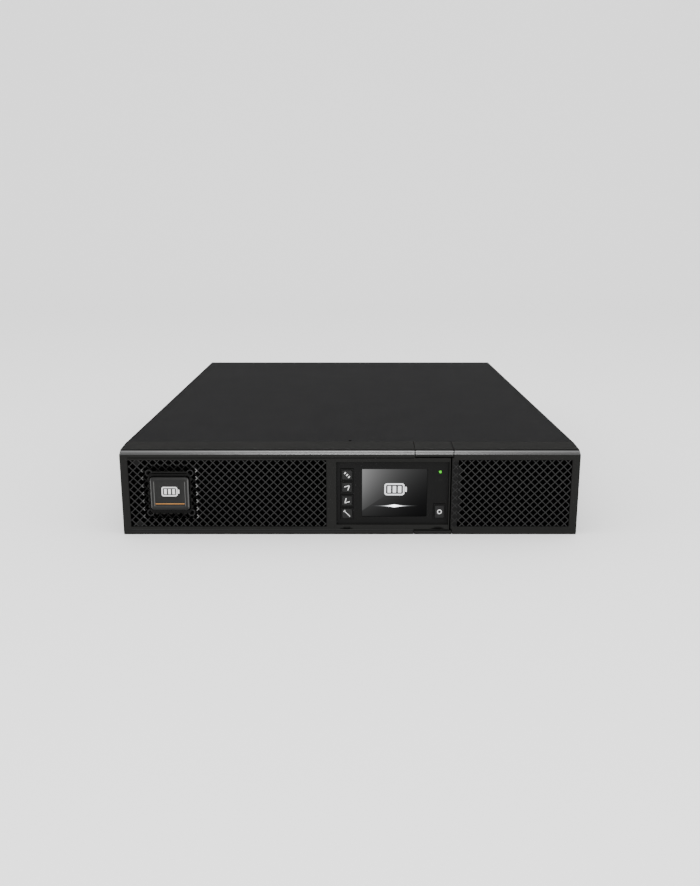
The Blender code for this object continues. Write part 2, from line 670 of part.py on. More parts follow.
def make_inlet(body, black):
    """Inlet with three flat pins in a deep cavity."""
    block = flanged_block("mains_inlet", INLET_CENTRE, (0.046, 0.027), (0.051, 0.031), 0.028, black, body)
    cut(block, Shape().box(*spans(INLET_CENTRE, (0.031, 0.0226), behind_panel(0.0155, 0.004))))
    pins = Shape()
    for offset in (-0.010, 0.0, 0.010):
        x, z = around((INLET_CENTRE[0] + offset, INLET_CENTRE[1]), (0.002, 0.008))
        pins.box(x, behind_panel(0.017, -0.0015), z)
    fuse(block, pins)


def make_breaker(body, button_body, black, white):
    """Thermal breaker with its reset button."""
    shell = Shape().rod(BREAKER_CENTRE, 0.0085, "Y", behind_panel(0.030, -SHEET - GAP))
    breaker = piece("breaker_body", shell, black, body, smooth=True)
    fuse(breaker, Shape().rod(BREAKER_CENTRE, 0.0055, "Y", behind_panel(0.010, 0.0040), 20))
    fuse(breaker, Shape().rod(BREAKER_CENTRE, 0.0085, "Y", behind_panel(-GAP, 0.0026), 6))
    cut(breaker, Shape().rod(BREAKER_CENTRE, 0.0037, "Y", behind_panel(0.012, 0.005), 20))
    knob = Shape().rod(BREAKER_CENTRE, 0.0033, "Y", behind_panel(0.010, REAR_FITTINGS), 20)
    piece("breaker_button", knob, white, button_body, smooth=True)


def make_ports(body, steel, zinc, black):
    """Option-slot cover, serial port, USB port and external-battery connector."""
    cover = Shape().box(SLOT_X, behind_panel(-GAP, 0.0015), SLOT_Z)
    piece("slot_cover", cover, steel, body)

    serial = flanged_block("serial_port", SERIAL_CENTRE, (0.019, 0.010), (0.031, 0.0125), 0.010, zinc, body)
    nose = rounded(SERIAL_CENTRE, (0.017, 0.0084), 0.002)
    fuse(serial, Shape().prism(nose, "Y", behind_panel(0.001, 0.006)))

    shell = Shape().box(*spans(USB_CENTRE, (0.012, 0.011), behind_panel(0.016, 0.0010)))
    usb = piece("usb_port", shell, zinc, body)
    cut(usb, Shape().box(*spans(USB_CENTRE, (0.0084, 0.0078), behind_panel(0.009, 0.002))))
    fuse(usb, Shape().box(*spans(USB_CENTRE, (0.0056, 0.0032), behind_panel(0.0095, -0.001))))

    port = flanged_block("battery_connector", BATTERY_PORT_CENTRE, (0.044, 0.013), (0.050, 0.016), 0.022,
                         black, body)
    poles = Shape()
    contacts = Shape()
    for offset in (-0.010, 0.010):
        centre = (BATTERY_PORT_CENTRE[0] + offset, BATTERY_PORT_CENTRE[1])
        poles.box(*spans(centre, (0.014, 0.0096), behind_panel(0.012, 0.004)))
        low = (centre[0], centre[1] - 0.0025)
        contacts.box(*spans(low, (0.010, 0.0014), behind_panel(0.0125, -0.002)))
    cut(port, poles)
    fuse(port, contacts)


def spans(centre, size, y):
    """Three spans of a box from its centre and size in X and Z, and its span in Y."""
    x, z = around(centre, size)
    return x, y, z


# ---------------------------------------------------------------------------------------------------

def main():
    for thing in list(bpy.data.objects):
        bpy.data.objects.remove(thing, do_unlink=True)

    steel = paint("charcoal_steel", (0.030, 0.031, 0.032), 0.42, 0.2)
    zinc = paint("zinc_steel", (0.55, 0.56, 0.58), 0.35, 0.9)
    plastic = paint("black_plastic", (0.024, 0.024, 0.023), 0.45)
    trim = paint("badge_plastic", (0.045, 0.045, 0.044), 0.3)
    black = paint("soft_black", (0.015, 0.015, 0.015), 0.6)
    glass = paint("window_glass", (0.02, 0.02, 0.022), 0.08)
    glow = paint("green_lamp", (0.20, 1.0, 0.10), 0.3, 0.0, 4.0)
    block_grey = paint("battery_grey", (0.10, 0.10, 0.11), 0.5)
    aluminium = paint("aluminium", (0.05, 0.05, 0.052), 0.4, 0.8)
    copper = paint("wound_copper", (0.70, 0.33, 0.16), 0.35, 0.9)
    core = paint("iron_core", (0.18, 0.17, 0.16), 0.5, 0.6)
    sleeve = paint("capacitor_sleeve", (0.04, 0.06, 0.16), 0.35)
    wire = paint("guard_wire", (0.60, 0.60, 0.62), 0.25, 1.0)
    white = paint("white_plastic", (0.80, 0.80, 0.78), 0.4)

    chassis = pivot("chassis", (0.0, 0.0, 0.0))
    cover = pivot("front_cover", (0.0, FRONT, CASE_HEIGHT / 2), chassis)
    battery = pivot("battery", ((TRAY_X[0] + TRAY_X[1]) / 2, CASE_FRONT, CASE_HEIGHT / 2), chassis)
    keys = [pivot(f"{name}_pivot", (KEY_X, FRONT, height), cover)
            for name, height in zip(KEY_NAMES, KEY_HEIGHTS)]
    power = pivot("power_button_pivot", (POWER_CENTRE[0], FRONT, POWER_CENTRE[1]), cover)
    badge = pivot("badge", (BADGE_X, FRONT, BADGE_Z), cover)
    tab_middle = (TAB_X[0] + TAB_X[1]) / 2
    upper_tab = pivot("upper_tab", (tab_middle, FRONT, CASE_HEIGHT), cover)
    lower_tab = pivot("lower_tab", (tab_middle, FRONT, 0.0), cover)
    rotors = [pivot(f"fan_spin_{number}", (x, FAN_BACK, FAN_HEIGHT), chassis)
              for number, x in enumerate(FAN_CENTRES, start=1)]
    reset = pivot("breaker_reset", (BREAKER_CENTRE[0], CASE_BACK, BREAKER_CENTRE[1]), chassis)

    make_case(chassis, steel, zinc)
    make_right_front(chassis, plastic)
    make_left_front(cover, plastic)
    make_badge(cover, badge, plastic, trim)
    make_display(cover, keys, power, plastic, black, glass, glow)
    make_tabs(upper_tab, lower_tab, plastic)
    make_battery(battery, zinc, block_grey, black)
    make_power_stage(chassis, aluminium, copper, core, sleeve)
    make_rear_panels(chassis, steel)
    for number, x in enumerate(FAN_CENTRES, start=1):
        make_fan(number, x, chassis, rotors[number - 1], black, wire)
    make_outlets(chassis, black)
    make_inlet(chassis, black)
    make_breaker(chassis, reset, black, white)
    make_ports(chassis, steel, zinc, black)


main()
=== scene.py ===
"""Looks of the uninterruptible power supply: materials, lattices, display, badge and rear details.

Lengths are in metres. X runs to the right, Y to the back and Z up. The front plane lies at y = FRONT.
"""
from math import copysign, cos, exp, pi, radians, sin, sqrt, tau

import bmesh
import bpy
from mathutils import Matrix, Vector


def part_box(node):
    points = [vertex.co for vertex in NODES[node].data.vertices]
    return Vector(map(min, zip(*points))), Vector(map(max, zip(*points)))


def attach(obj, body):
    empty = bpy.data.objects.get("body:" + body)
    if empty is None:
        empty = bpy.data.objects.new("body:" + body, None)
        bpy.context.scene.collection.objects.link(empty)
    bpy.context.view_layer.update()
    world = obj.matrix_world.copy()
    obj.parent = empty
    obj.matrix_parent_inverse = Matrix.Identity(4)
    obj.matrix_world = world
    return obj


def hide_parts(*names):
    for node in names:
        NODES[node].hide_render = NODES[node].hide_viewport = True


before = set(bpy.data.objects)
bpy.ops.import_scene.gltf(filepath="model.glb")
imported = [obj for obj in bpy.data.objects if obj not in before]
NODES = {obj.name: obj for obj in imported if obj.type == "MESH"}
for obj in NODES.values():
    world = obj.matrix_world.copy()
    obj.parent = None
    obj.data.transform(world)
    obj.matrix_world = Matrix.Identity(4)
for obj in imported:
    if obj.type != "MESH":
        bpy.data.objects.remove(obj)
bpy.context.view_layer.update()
KEYS = ("escape_key", "up_key", "down_key", "enter_key", "power_button")


def centre_of(name):
    """Middle of a node in X and Z."""
    low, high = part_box(name)
    return ((low.x + high.x) / 2, (low.z + high.z) / 2)


def size_of(name):
    """Width and height of a node."""
    low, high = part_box(name)
    return (high.x - low.x, high.z - low.z)


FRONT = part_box("left_bezel")[0].y
CASE_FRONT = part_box("top_cover")[0].y
SIDE, CASE_BACK, CASE_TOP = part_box("top_cover")[1]
TAB_X = tuple(corner.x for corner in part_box("upper_release_tab"))

# Camera: distance before the front plane, height over the floor, tilt from straight down, focal length
CAMERA_DISTANCE = 0.7792
CAMERA_HEIGHT = 0.2798
CAMERA_TILT = radians(90 - 13.69)
LENS = 34.93

# Lattices: struts, shift of each from its middle, and closed diamonds of the left as (column, row)
STRUT_PITCH = 0.00755
STRUT_WIDTH = 0.00078
STRUT_DEPTH = 0.0009
HALF_PITCH = STRUT_PITCH / 2
HOLE_DIAGONAL = STRUT_PITCH - STRUT_WIDTH * sqrt(2)
LATTICE_SHIFT = {"left": -0.0019, "right": 0.0004}
CLOSED_CELLS = ((-22, 8), (-22, -8))
BLIND_SINK = 0.0003
BLIND_MARGIN = 0.0001

# Strip of blind lattice beside the right one: margins, rise and depth
STRIP_MARGINS = (0.0006, 0.0004)
STRIP_RISE = 0.00025
FIELD_RISE = 0.00008
STRIP_DEPTH = 0.0004

# Black backings behind the lattices, painted shade of the inside of the case: width of the skirt,
# thickness, and setback of the left one
SKIRT = 0.0012
BACKING_THICKNESS = 0.0008
LEFT_BACKING_SETBACK = 0.0074

# Pocket of the badge, its deeper lattice darkened as painted shade, and the ends of the struts beside it
# with painted highlight
POCKET_CENTRE = (-0.1702, 0.0415)
POCKET_SIZE = 0.052
POCKET_CORNER = 0.008
POCKET_LATTICE = (0.0052, 0.0062)
TIP_REACH = 0.0017
TIP_WIDTH = 0.0007
TIP_DEPTH = 0.0012
TIP_RISE = 0.00006

# Badge: places of the lugs and scallops from its centre, its mark and its line
BADGE_CENTRE = centre_of("badge_tray")
LUG_OFFSET = 0.0196
SCALLOP_OFFSET = 0.0198
MARK_RISE = 0.0022
MARK_WIDTH = 0.015
LINE_HEIGHT = 0.0064
LINE_SIZE = (0.0276, 0.0006)
FACE_DEPTH = 0.00072

# Trim strip: its upper and lower edge as (setback, height), and the half widths there
TRIM_TOP = (0.0012, 0.0825)
TRIM_FOOT = (0.0, 0.0786)
TRIM_HALF = (0.215, 0.2162)

# Prints: their thickness, and how far they rise over the front plane
PRINT = 0.0001
PRINT_RISE = 0.00004

# Left bezel: height and width of its two seams, the lip at its foot, painted shadows under the notches of
# the display as (x, z)
SEAMS = ((0.0041, 0.0006), (0.0755, 0.0006))
SEAM_HIGHLIGHT_WIDTH = 0.0019
LIP_HEIGHTS = (0.0001, 0.0018)
LIP_DEPTH = 0.002
NOTCH_SHADOWS = ((-0.0035, 0.0061), (0.0835, 0.0061))
NOTCH_SHADOW_SIZE = (0.012, 0.0007)

# Screen: brightness of its painted reflection, width of its mark and its rise over the middle, drop of the
# flare under it
SCREEN_REFLECTION_GLOW = 0.29
SCREEN_MARK = (0.019, 0.0035)
FLARE_DROP = 0.0129

# Rear: fans, outlets, and the directions that screws face
GUARD_SETBACK = 0.0014
GUARD_WIRE = 0.0008
FAN_SCREW_OFFSET = 0.0356
BLADE_COUNT = 7
OUTLET_PITCH = 0.028
BACKWARD = (0, 1, 0)
FORWARD = (0, -1, 0)

# Screws: on the rear as (x, z), on the sides as (setback, z); blank labels of the blocks
REAR_SCREWS = ((-0.2075, 0.006), (-0.2075, 0.04), (-0.141, 0.08), (-0.04, 0.08),
               (-0.03, 0.006), (0.008, 0.08), (0.044, 0.08), (0.045, 0.004))
EARTH_SCREW = (-0.024, 0.012)
SIDE_SCREWS = ((0.03, 0.016), (0.03, 0.07), (0.17, 0.016), (0.3, 0.016), (0.44, 0.016), (0.5, 0.07))
LABEL_SIZE = (0.06, 0.11)

# Finishes: grain, mottling, spread of the roughness, and where the trim's painted highlight fades, from the
# middle
BUMP_STRENGTH = 0.6
MOTTLE_SCALE = 24.0
ROUGHNESS_SPREAD = 0.06
FADE_SPAN = (0.05, 0.2)


# ----------------------------------------
# Materials

def new_material(name):
    """Material and its main shader."""
    material = bpy.data.materials.new(name)
    material.use_nodes = True
    return material, material.node_tree.nodes["Principled BSDF"]


def put(node, **values):
    """Set input values of a shader node, where underscores stand for spaces."""
    for name, value in values.items():
        node.inputs[name.replace("_", " ")].default_value = value


def add_node(material, kind, operation=None, **values):
    """New shader node with its input values."""
    node = material.node_tree.nodes.new(f"ShaderNode{kind}")
    if operation:
        node.operation = operation
    put(node, **values)
    return node


def surface(name, colour, roughness, metallic=0.0, specular=0.5, grain=1600.0, depth=0.00002, mottle=0.12):
    """Procedural finish: fine grain as bump, slow colour mottling and uneven roughness."""
    material, shader = new_material(name)
    link = material.node_tree.links.new
    put(shader, Metallic=metallic, Specular_IOR_Level=specular)

    place = add_node(material, "TexCoord")
    fine = add_node(material, "TexNoise", Scale=grain, Detail=3.0)
    bump = add_node(material, "Bump", Distance=depth, Strength=BUMP_STRENGTH)
    link(place.outputs["Object"], fine.inputs["Vector"])
    link(fine.outputs["Fac"], bump.inputs["Height"])
    link(bump.outputs["Normal"], shader.inputs["Normal"])

    slow = add_node(material, "TexNoise", Scale=MOTTLE_SCALE, Detail=4.0)
    tint = add_node(material, "MapRange", To_Min=1.0 - mottle, To_Max=1.0 + mottle)
    shade = add_node(material, "VectorMath", "SCALE")
    shade.inputs[0].default_value = colour
    link(place.outputs["Object"], slow.inputs["Vector"])
    link(slow.outputs["Fac"], tint.inputs["Value"])
    link(tint.outputs["Result"], shade.inputs["Scale"])
    link(shade.outputs["Vector"], shader.inputs["Base Color"])

    least = max(roughness - ROUGHNESS_SPREAD, 0.02)
    most = min(roughness + ROUGHNESS_SPREAD, 1.0)
    rough = add_node(material, "MapRange", To_Min=least, To_Max=most)
    link(fine.outputs["Fac"], rough.inputs["Value"])
    link(rough.outputs["Result"], shader.inputs["Roughness"])
    return material


def first_node(material, kind):
    """First shader node of a type."""
    return next(node for node in material.node_tree.nodes if node.type == kind)


def brushed(name, colour, roughness, stretch=(1.0, 40.0, 40.0)):
    """Metal with fine lines along X."""
    material = surface(name, colour, roughness, metallic=1.0, grain=120.0, depth=0.00001, mottle=0.08)
    link = material.node_tree.links.new
    scale = add_node(material, "Mapping", Scale=stretch)
    link(first_node(material, "TEX_COORD").outputs["Object"], scale.inputs["Vector"])
    link(scale.outputs["Vector"], first_node(material, "TEX_NOISE").inputs["Vector"])
    return material


def glowing(name, colour, strength):
    """Lit lens or print: what it emits, over a dark base."""
    base = tuple(0.02 * channel for channel in colour)
    material = surface(name, base, 0.3, specular=0.1, grain=300.0, mottle=0.02)
    shader = material.node_tree.nodes["Principled BSDF"]
    put(shader, Emission_Color=(*colour, 1.0), Emission_Strength=strength)
    return material


def fade_highlight_to_ends(material, ends):
    """Painted falloff of a highlight: darken a finish from the middle of the case towards both ends, down
    to a share of its colour.
    """
    link = material.node_tree.links.new
    shade = first_node(material, "VECT_MATH")
    tint = shade.inputs["Scale"].links[0].from_socket
    split = add_node(material, "SeparateXYZ")
    away = add_node(material, "Math", "ABSOLUTE")
    fade = add_node(material, "MapRange", From_Min=FADE_SPAN[0], From_Max=FADE_SPAN[1], To_Min=1.0,
                    To_Max=ends)
    product = add_node(material, "Math", "MULTIPLY")
    link(first_node(material, "TEX_COORD").outputs["Object"], split.inputs["Vector"])
    link(split.outputs["X"], away.inputs[0])
    link(away.outputs["Value"], fade.inputs["Value"])
    link(tint, product.inputs[0])
    link(fade.outputs["Result"], product.inputs[1])
    link(product.outputs["Value"], shade.inputs["Scale"])
    return material


POWDER = surface("powder_coat", (0.013, 0.013, 0.0133), 0.65, specular=0.004, grain=2200.0, depth=0.00004)
BEZEL = surface("bezel_plastic", (0.012, 0.012, 0.0115), 0.6, specular=0.01, grain=3000.0)
LATTICE = surface("lattice_plastic", (0.015, 0.015, 0.0147), 0.5, specular=0.12, grain=3000.0)
# Trim colours are painted light: the satin one is a painted sheen of the lit sloping face, lighter than the
# bezel, with real reflection from its metal; the edge one is a painted highlight
TRIM_SHEEN = surface("trim_painted_sheen", (0.036, 0.036, 0.036), 0.22, metallic=0.4, grain=900.0, mottle=0.04)
TRIM_HIGHLIGHT = fade_highlight_to_ends(surface("trim_painted_highlight", (0.27, 0.27, 0.27), 0.22, metallic=0.6, grain=900.0,
                                 mottle=0.04), 0.52)
PANEL = surface("panel_plastic", (0.0048, 0.0048, 0.0047), 0.55, specular=0.06, grain=3000.0)
KEYCAP = surface("keycap_plastic", (0.0105, 0.0105, 0.0105), 0.45, specular=0.1, grain=2500.0)
BADGE = surface("badge_plastic", (0.0105, 0.0105, 0.0102), 0.36, specular=0.12, grain=1500.0)
# Painted highlights: lighter copies of the dark plastics for the badge's bevels and the strut ends, the
# brighter one for the right side
DIM_HIGHLIGHT = surface("dim_painted_highlight", (0.048, 0.048, 0.047), 0.25, specular=0.4, grain=1500.0)
BRIGHT_HIGHLIGHT = surface("bright_painted_highlight", (0.11, 0.11, 0.108), 0.3, specular=0.4, grain=1500.0)
# Near-black for dark joints, holes and the trim's groove line, and for painted shade: the backings behind
# the lattices, the badge's shadow on its tray, the shadows under the display notches and above and left of
# the keys
JOINT_AND_SHADE_BLACK = surface("black_joints_and_painted_shade", (0.0008, 0.0008, 0.0008), 0.8, specular=0.0)
CHARCOAL = surface("charcoal_paint", (0.022, 0.022, 0.023), 0.5, specular=0.25, grain=1800.0)
SOCKET = surface("socket_plastic", (0.006, 0.006, 0.006), 0.42, specular=0.25, grain=1500.0)
ZINC = brushed("zinc_plate", (0.42, 0.43, 0.45), 0.35)
CHROME = surface("plated_wire", (0.45, 0.45, 0.47), 0.25, metallic=1.0, grain=400.0, mottle=0.05)
BATTERY = surface("battery_case", (0.02, 0.0205, 0.0225), 0.5, specular=0.3, grain=900.0)
LABEL = surface("blank_label", (0.25, 0.25, 0.24), 0.45, grain=300.0, mottle=0.05)
WHITE_PRINT = surface("white_print", (0.6, 0.6, 0.6), 0.5, grain=800.0, mottle=0.02)
ORANGE_PRINT = surface("orange_print", (0.42, 0.17, 0.022), 0.5, grain=800.0, mottle=0.02)
WHITE_PLASTIC = surface("white_plastic", (0.5, 0.5, 0.49), 0.35, grain=800.0, mottle=0.04)
BRASS = surface("contact_brass", (0.75, 0.56, 0.26), 0.3, metallic=1.0, grain=600.0)
BOARD = surface("solder_mask", (0.015, 0.1, 0.045), 0.4, grain=500.0)
ANODISED = brushed("black_anodised", (0.05, 0.05, 0.052), 0.4, stretch=(40.0, 1.0, 40.0))
COPPER = surface("enamelled_copper", (0.66, 0.28, 0.12), 0.3, metallic=0.9, grain=700.0)
IRON = surface("laminated_iron", (0.14, 0.13, 0.12), 0.5, metallic=0.7, grain=700.0)
SLEEVE = surface("shrink_sleeve", (0.02, 0.035, 0.11), 0.3, grain=400.0)
LED_GLOW = glowing("green_glow", (0.1, 1.0, 0.03), 1.1)
SCREEN_WHITE = glowing("screen_white", (0.97, 0.98, 1.0), 1.6)


# ----------------------------------------
# Mesh tools

def placed(name, data):
    """New object in the scene."""
    thing = bpy.data.objects.new(name, data)
    bpy.context.scene.collection.objects.link(thing)
    return thing


def loose(bm, name="cutter"):
    """Object made of a bmesh, which rides on nothing yet."""
    bmesh.ops.recalc_face_normals(bm, faces=bm.faces)
    mesh = bpy.data.meshes.new(name)
    bm.to_mesh(mesh)
    bm.free()
    return placed(name, mesh)


def finished(name, bm, material, body, sharp=35.0):
    """Make an object of a bmesh, shade it, give it its finish and let it ride on a body."""
    thing = loose(bm, name)
    thing.data.materials.append(material)
    thing.data.shade_smooth()
    thing.data.set_sharp_from_angle(angle=radians(sharp))
    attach(thing, body)
    return thing


def soften(thing, width, segments=2, angle=30.0):
    """Rounded edges."""
    bevel = thing.modifiers.new("edges", "BEVEL")
    bevel.width = width
    bevel.segments = segments
    bevel.limit_method = "ANGLE"
    bevel.angle_limit = radians(angle)
    bevel.harden_normals = True
    return thing


def refine(name, material, width, segments=2):
    """Give a carried-over CAD node its finish and rounded edges."""
    thing = NODES[name]
    mesh = thing.data
    if "custom_normal" in mesh.attributes:
        mesh.attributes.remove(mesh.attributes["custom_normal"])
    mesh.shade_smooth()
    for slot in thing.material_slots:
        slot.material = material
    weld = thing.modifiers.new("weld", "WELD")
    weld.merge_threshold = 0.00001
    flat = thing.modifiers.new("planar", "DECIMATE")
    flat.decimate_type = "DISSOLVE"
    flat.angle_limit = radians(1)
    soften(thing, width, segments)
    return thing


def skin(bm, low, high):
    """Faces between two closed loops of vertices."""
    for i in range(len(low)):
        j = (i + 1) % len(low)
        bm.faces.new((low[i], low[j], high[j], high[i]))


def stack(bm, rings, close=False):
    """Skin through rings with the same number of points, with both ends filled or joined."""
    loops = [[bm.verts.new(point) for point in ring] for ring in rings]
    for low, high in zip(loops, loops[1:]):
        skin(bm, low, high)
    if close:
        skin(bm, loops[-1], loops[0])
    else:
        bm.faces.new(loops[0][::-1])
        bm.faces.new(loops[-1])


def extrude_y(bm, outline, near, far):
    """Outline in X and Z extruded along Y."""
    stack(bm, [[(x, y, z) for x, z in outline] for y in (near, far)])


def extrude_z(bm, outline, bottom, top):
    """Outline in X and Y extruded along Z."""
    stack(bm, [[(x, y, z) for x, y in outline] for z in (bottom, top)])


def prism(outline, near, far):
    """Loose block for a Boolean, extruded along Y."""
    bm = bmesh.new()
    extrude_y(bm, outline, near, far)
    return loose(bm)


def frame_y(bm, outer, inner, near, far):
    """Frame between two outlines in X and Z, extruded along Y."""
    section = ((outer, near), (inner, near), (inner, far), (outer, far))
    stack(bm, [[(x, y, z) for x, z in outline] for outline, y in section], close=True)


def plates(name, outlines, near, far, material, body):
    """One piece of flat plates between two depths."""
    bm = bmesh.new()
    for outline in outlines:
        extrude_y(bm, outline, near, far)
    return finished(name, bm, material, body)


def rings_of(centre, section, sides):
    """Circles round a centre, one for each (radius, depth) of a section."""
    return [[(x, depth, z) for x, z in circle(centre, radius, sides)] for radius, depth in section]


def rounded(centre, size, radius, steps=6):
    """Outline of a rectangle with round corners."""
    points = []
    for corner, (sx, sz) in enumerate(((1, 1), (-1, 1), (-1, -1), (1, -1))):
        for step in range(steps + 1):
            angle = (corner + step / steps) * pi / 2
            points.append((centre[0] + sx * (size[0] / 2 - radius) + radius * cos(angle),
                           centre[1] + sz * (size[1] / 2 - radius) + radius * sin(angle)))
    return points


def grown(centre, size, growth, radius):
    """Outline of a rectangle that is wider and higher by the same growth."""
    return rounded(centre, (size[0] + growth, size[1] + growth), radius)


def circle(centre, radius, sides=32):
    """Outline of a circle, or of a polygon with few sides."""
    step = tau / sides
    return [(centre[0] + radius * cos(i * step), centre[1] + radius * sin(i * step))
            for i in range(sides)]


def boolean(thing, cutter, operation):
    """Apply a Boolean with an object that is thrown away."""
    step = thing.modifiers.new("shape", "BOOLEAN")
    step.operation = operation
    step.solver = "EXACT"
    step.object = cutter
    graph = bpy.context.evaluated_depsgraph_get()
    mesh = bpy.data.meshes.new_from_object(thing.evaluated_get(graph))
    thing.modifiers.remove(step)
    thing.data = mesh
    bpy.data.objects.remove(cutter)


# ----------------------------------------
# Stage, camera and light

def stage():
    """Pale floor with a sweep, soft light and the camera."""
    bm = bmesh.new()
    sweep = [(-3.0, 0.0), (2.2, 0.0)]
    for step in range(1, 13):
        angle = step / 12 * pi / 2
        sweep.append((2.2 + 1.2 * sin(angle), 1.2 - 1.2 * cos(angle)))
    sweep.append((3.4, 4.0))
    rows = [[bm.verts.new((x, y, z)) for x in (-5.0, 5.0)] for y, z in sweep]
    for near, far in zip(rows, rows[1:]):
        bm.faces.new((near[0], near[1], far[1], far[0]))
    mesh = bpy.data.meshes.new("floor")
    bm.to_mesh(mesh)
    bm.free()
    mesh.shade_smooth()
    white, shader = new_material("studio_white")
    put(shader, Base_Color=(0.92, 0.92, 0.92, 1.0), Roughness=0.9, Specular_IOR_Level=0.1)
    mesh.materials.append(white)
    floor = placed("floor", mesh)

    world = bpy.data.worlds.new("studio")
    bpy.context.scene.world = world
    world.use_nodes = True
    sky = world.node_tree.nodes["Background"]
    put(sky, Color=(1.0, 1.0, 1.0, 1.0), Strength=1.8)

    lamps = (
        ("overhead_lamp", (0.0, -0.3, 1.9), (1.6, 1.2), 6.0),
        ("front_lamp", (0.0, -1.9, 0.75), (0.7, 0.4), 20.0),
        ("left_lamp", (-2.0, -0.8, 1.2), (1.0, 1.0), 8.0),
        ("right_lamp", (2.0, -0.6, 1.0), (1.0, 1.0), 5.0),
    )
    for name, place, size, power in lamps:
        light = bpy.data.lights.new(name, "AREA")
        light.shape = "RECTANGLE"
        light.size = size[0]
        light.size_y = size[1]
        light.energy = power
        lamp = placed(name, light)
        lamp.location = place
        aim = Vector((0.0, 0.0, 0.04)) - Vector(place)
        lamp.rotation_euler = aim.to_track_quat("-Z", "Y").to_euler()

    lens = bpy.data.cameras.new("camera")
    lens.lens = LENS
    lens.sensor_width = 36.0
    lens.clip_start = 0.01
    camera = placed("camera", lens)
    camera.location = (0.0, FRONT - CAMERA_DISTANCE, CAMERA_HEIGHT)
    camera.rotation_euler = (CAMERA_TILT, 0.0, 0.0)
    bpy.context.scene.camera = camera


# ----------------------------------------
# Lattices

def lattice_middle(x, z, shift):
    """Centre of the tile that a lattice is laid out from."""
    return ((x[0] + x[1]) / 2 + shift, (z[0] + z[1]) / 2)


def diamond(centre, reach):
    """Outline of a square that stands on its corner."""
    return [(centre[0] + reach, centre[1]), (centre[0], centre[1] + reach),
            (centre[0] - reach, centre[1]), (centre[0], centre[1] - reach)]


def lattice_mesh(x, z, near, far, shift):
    """Lattice plate of tiles, each a diamond with a diamond hole, cut off at the edges."""
    bm = bmesh.new()
    columns = int((x[1] - x[0]) / HALF_PITCH) + 3
    rows = int((z[1] - z[0]) / HALF_PITCH) + 3
    middle = lattice_middle(x, z, shift)
    for i in range(-columns // 2, columns // 2 + 2):
        for j in range(-rows // 2, rows // 2 + 2):
            if (i + j) % 2:
                continue
            centre = (middle[0] + i * HALF_PITCH, middle[1] + j * HALF_PITCH)
            outer, inner = ([bm.verts.new((a, near, b)) for a, b in diamond(centre, reach)]
                            for reach in (HALF_PITCH, HOLE_DIAGONAL / 2))
            skin(bm, outer, inner)
    bmesh.ops.remove_doubles(bm, verts=bm.verts, dist=0.00002)
    for point, normal in (((x[0], 0, 0), (-1, 0, 0)), ((x[1], 0, 0), (1, 0, 0)),
                          ((0, 0, z[0]), (0, 0, -1)), ((0, 0, z[1]), (0, 0, 1))):
        everything = bm.verts[:] + bm.edges[:] + bm.faces[:]
        bmesh.ops.bisect_plane(bm, geom=everything, dist=0.00001, plane_co=point, plane_no=normal,
                               clear_outer=True)
    grown = bmesh.ops.extrude_face_region(bm, geom=bm.faces[:])
    moved = [item for item in grown["geom"] if isinstance(item, bmesh.types.BMVert)]
    bmesh.ops.translate(bm, verts=moved, vec=(0.0, far - near, 0.0))
    return bm


def pocket_prism(size, near, far):
    """Block in the shape of the badge's pocket."""
    return prism(rounded(POCKET_CENTRE, (size, size), POCKET_CORNER), near, far)


def shade_backing(side, y, body):
    """Thin black sheet behind a lattice as painted shade of the inside of the case, with a folded rim and a
    skirt up to the lattice.
    """
    grille = f"{side}_grille"
    centre = centre_of(grille)
    size = [length - 0.0004 for length in size_of(grille)]
    rim = ((0.0, 0.0), (0.0, BACKING_THICKNESS), (0.002, BACKING_THICKNESS), (0.0024, BACKING_THICKNESS / 2))
    bm = bmesh.new()
    stack(bm, [[(a, y + depth, b) for a, b in grown(centre, size, -inset, 0.002)] for inset, depth in rim])
    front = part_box(grille)[0].y + STRUT_DEPTH
    back = y + 0.0005
    skirt = ((SKIRT, front), (-0.0002, front), (-0.0002, back), (SKIRT, back))
    stack(bm, [[(a, depth, b) for a, b in grown(centre, size, 2 * reach, 0.002)]
               for reach, depth in skirt], close=True)
    return finished(f"{side}_shade_backing", bm, JOINT_AND_SHADE_BLACK, body)


def make_right_lattice():
    """Lattice of the fixed bezel, with its first column closed and a blind strip beside it."""
    low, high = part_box("right_grille")
    x = (low.x, high.x)
    z = (low.z, high.z)
    shift = LATTICE_SHIFT["right"]
    bm = lattice_mesh(x, z, low.y, low.y + STRUT_DEPTH, shift)
    right = finished("right_lattice", bm, LATTICE, "chassis", sharp=20.0)
    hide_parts("right_grille")
    shade_backing("right", high.y + 0.0004, "chassis")

    strip = (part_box("right_bezel")[0].x + STRIP_MARGINS[0], low.x - STRIP_MARGINS[1])
    middle = ((strip[0] + strip[1]) / 2, (low.z + high.z) / 2)
    field = rounded(middle, (strip[1] - strip[0], high.z - low.z), 0.0006)
    plates("right_blind_field", [field], FRONT - FIELD_RISE, FRONT + STRIP_DEPTH, PANEL, "chassis")
    bm = lattice_mesh(strip, z, FRONT - STRIP_RISE, FRONT + STRIP_DEPTH, shift)
    finished("right_blind_lattice", bm, KEYCAP, "chassis", sharp=20.0)

    middle = lattice_middle(x, z, shift)
    column = round((low.x - middle[0]) / HALF_PITCH)
    rows = int((high.z - middle[1]) / HALF_PITCH - 0.001)
    cells = [(column, row) for row in range(1 - rows, rows) if (column + row) % 2 == 0]
    blind_holes("right_blind_holes", middle, cells, low.y, "chassis")


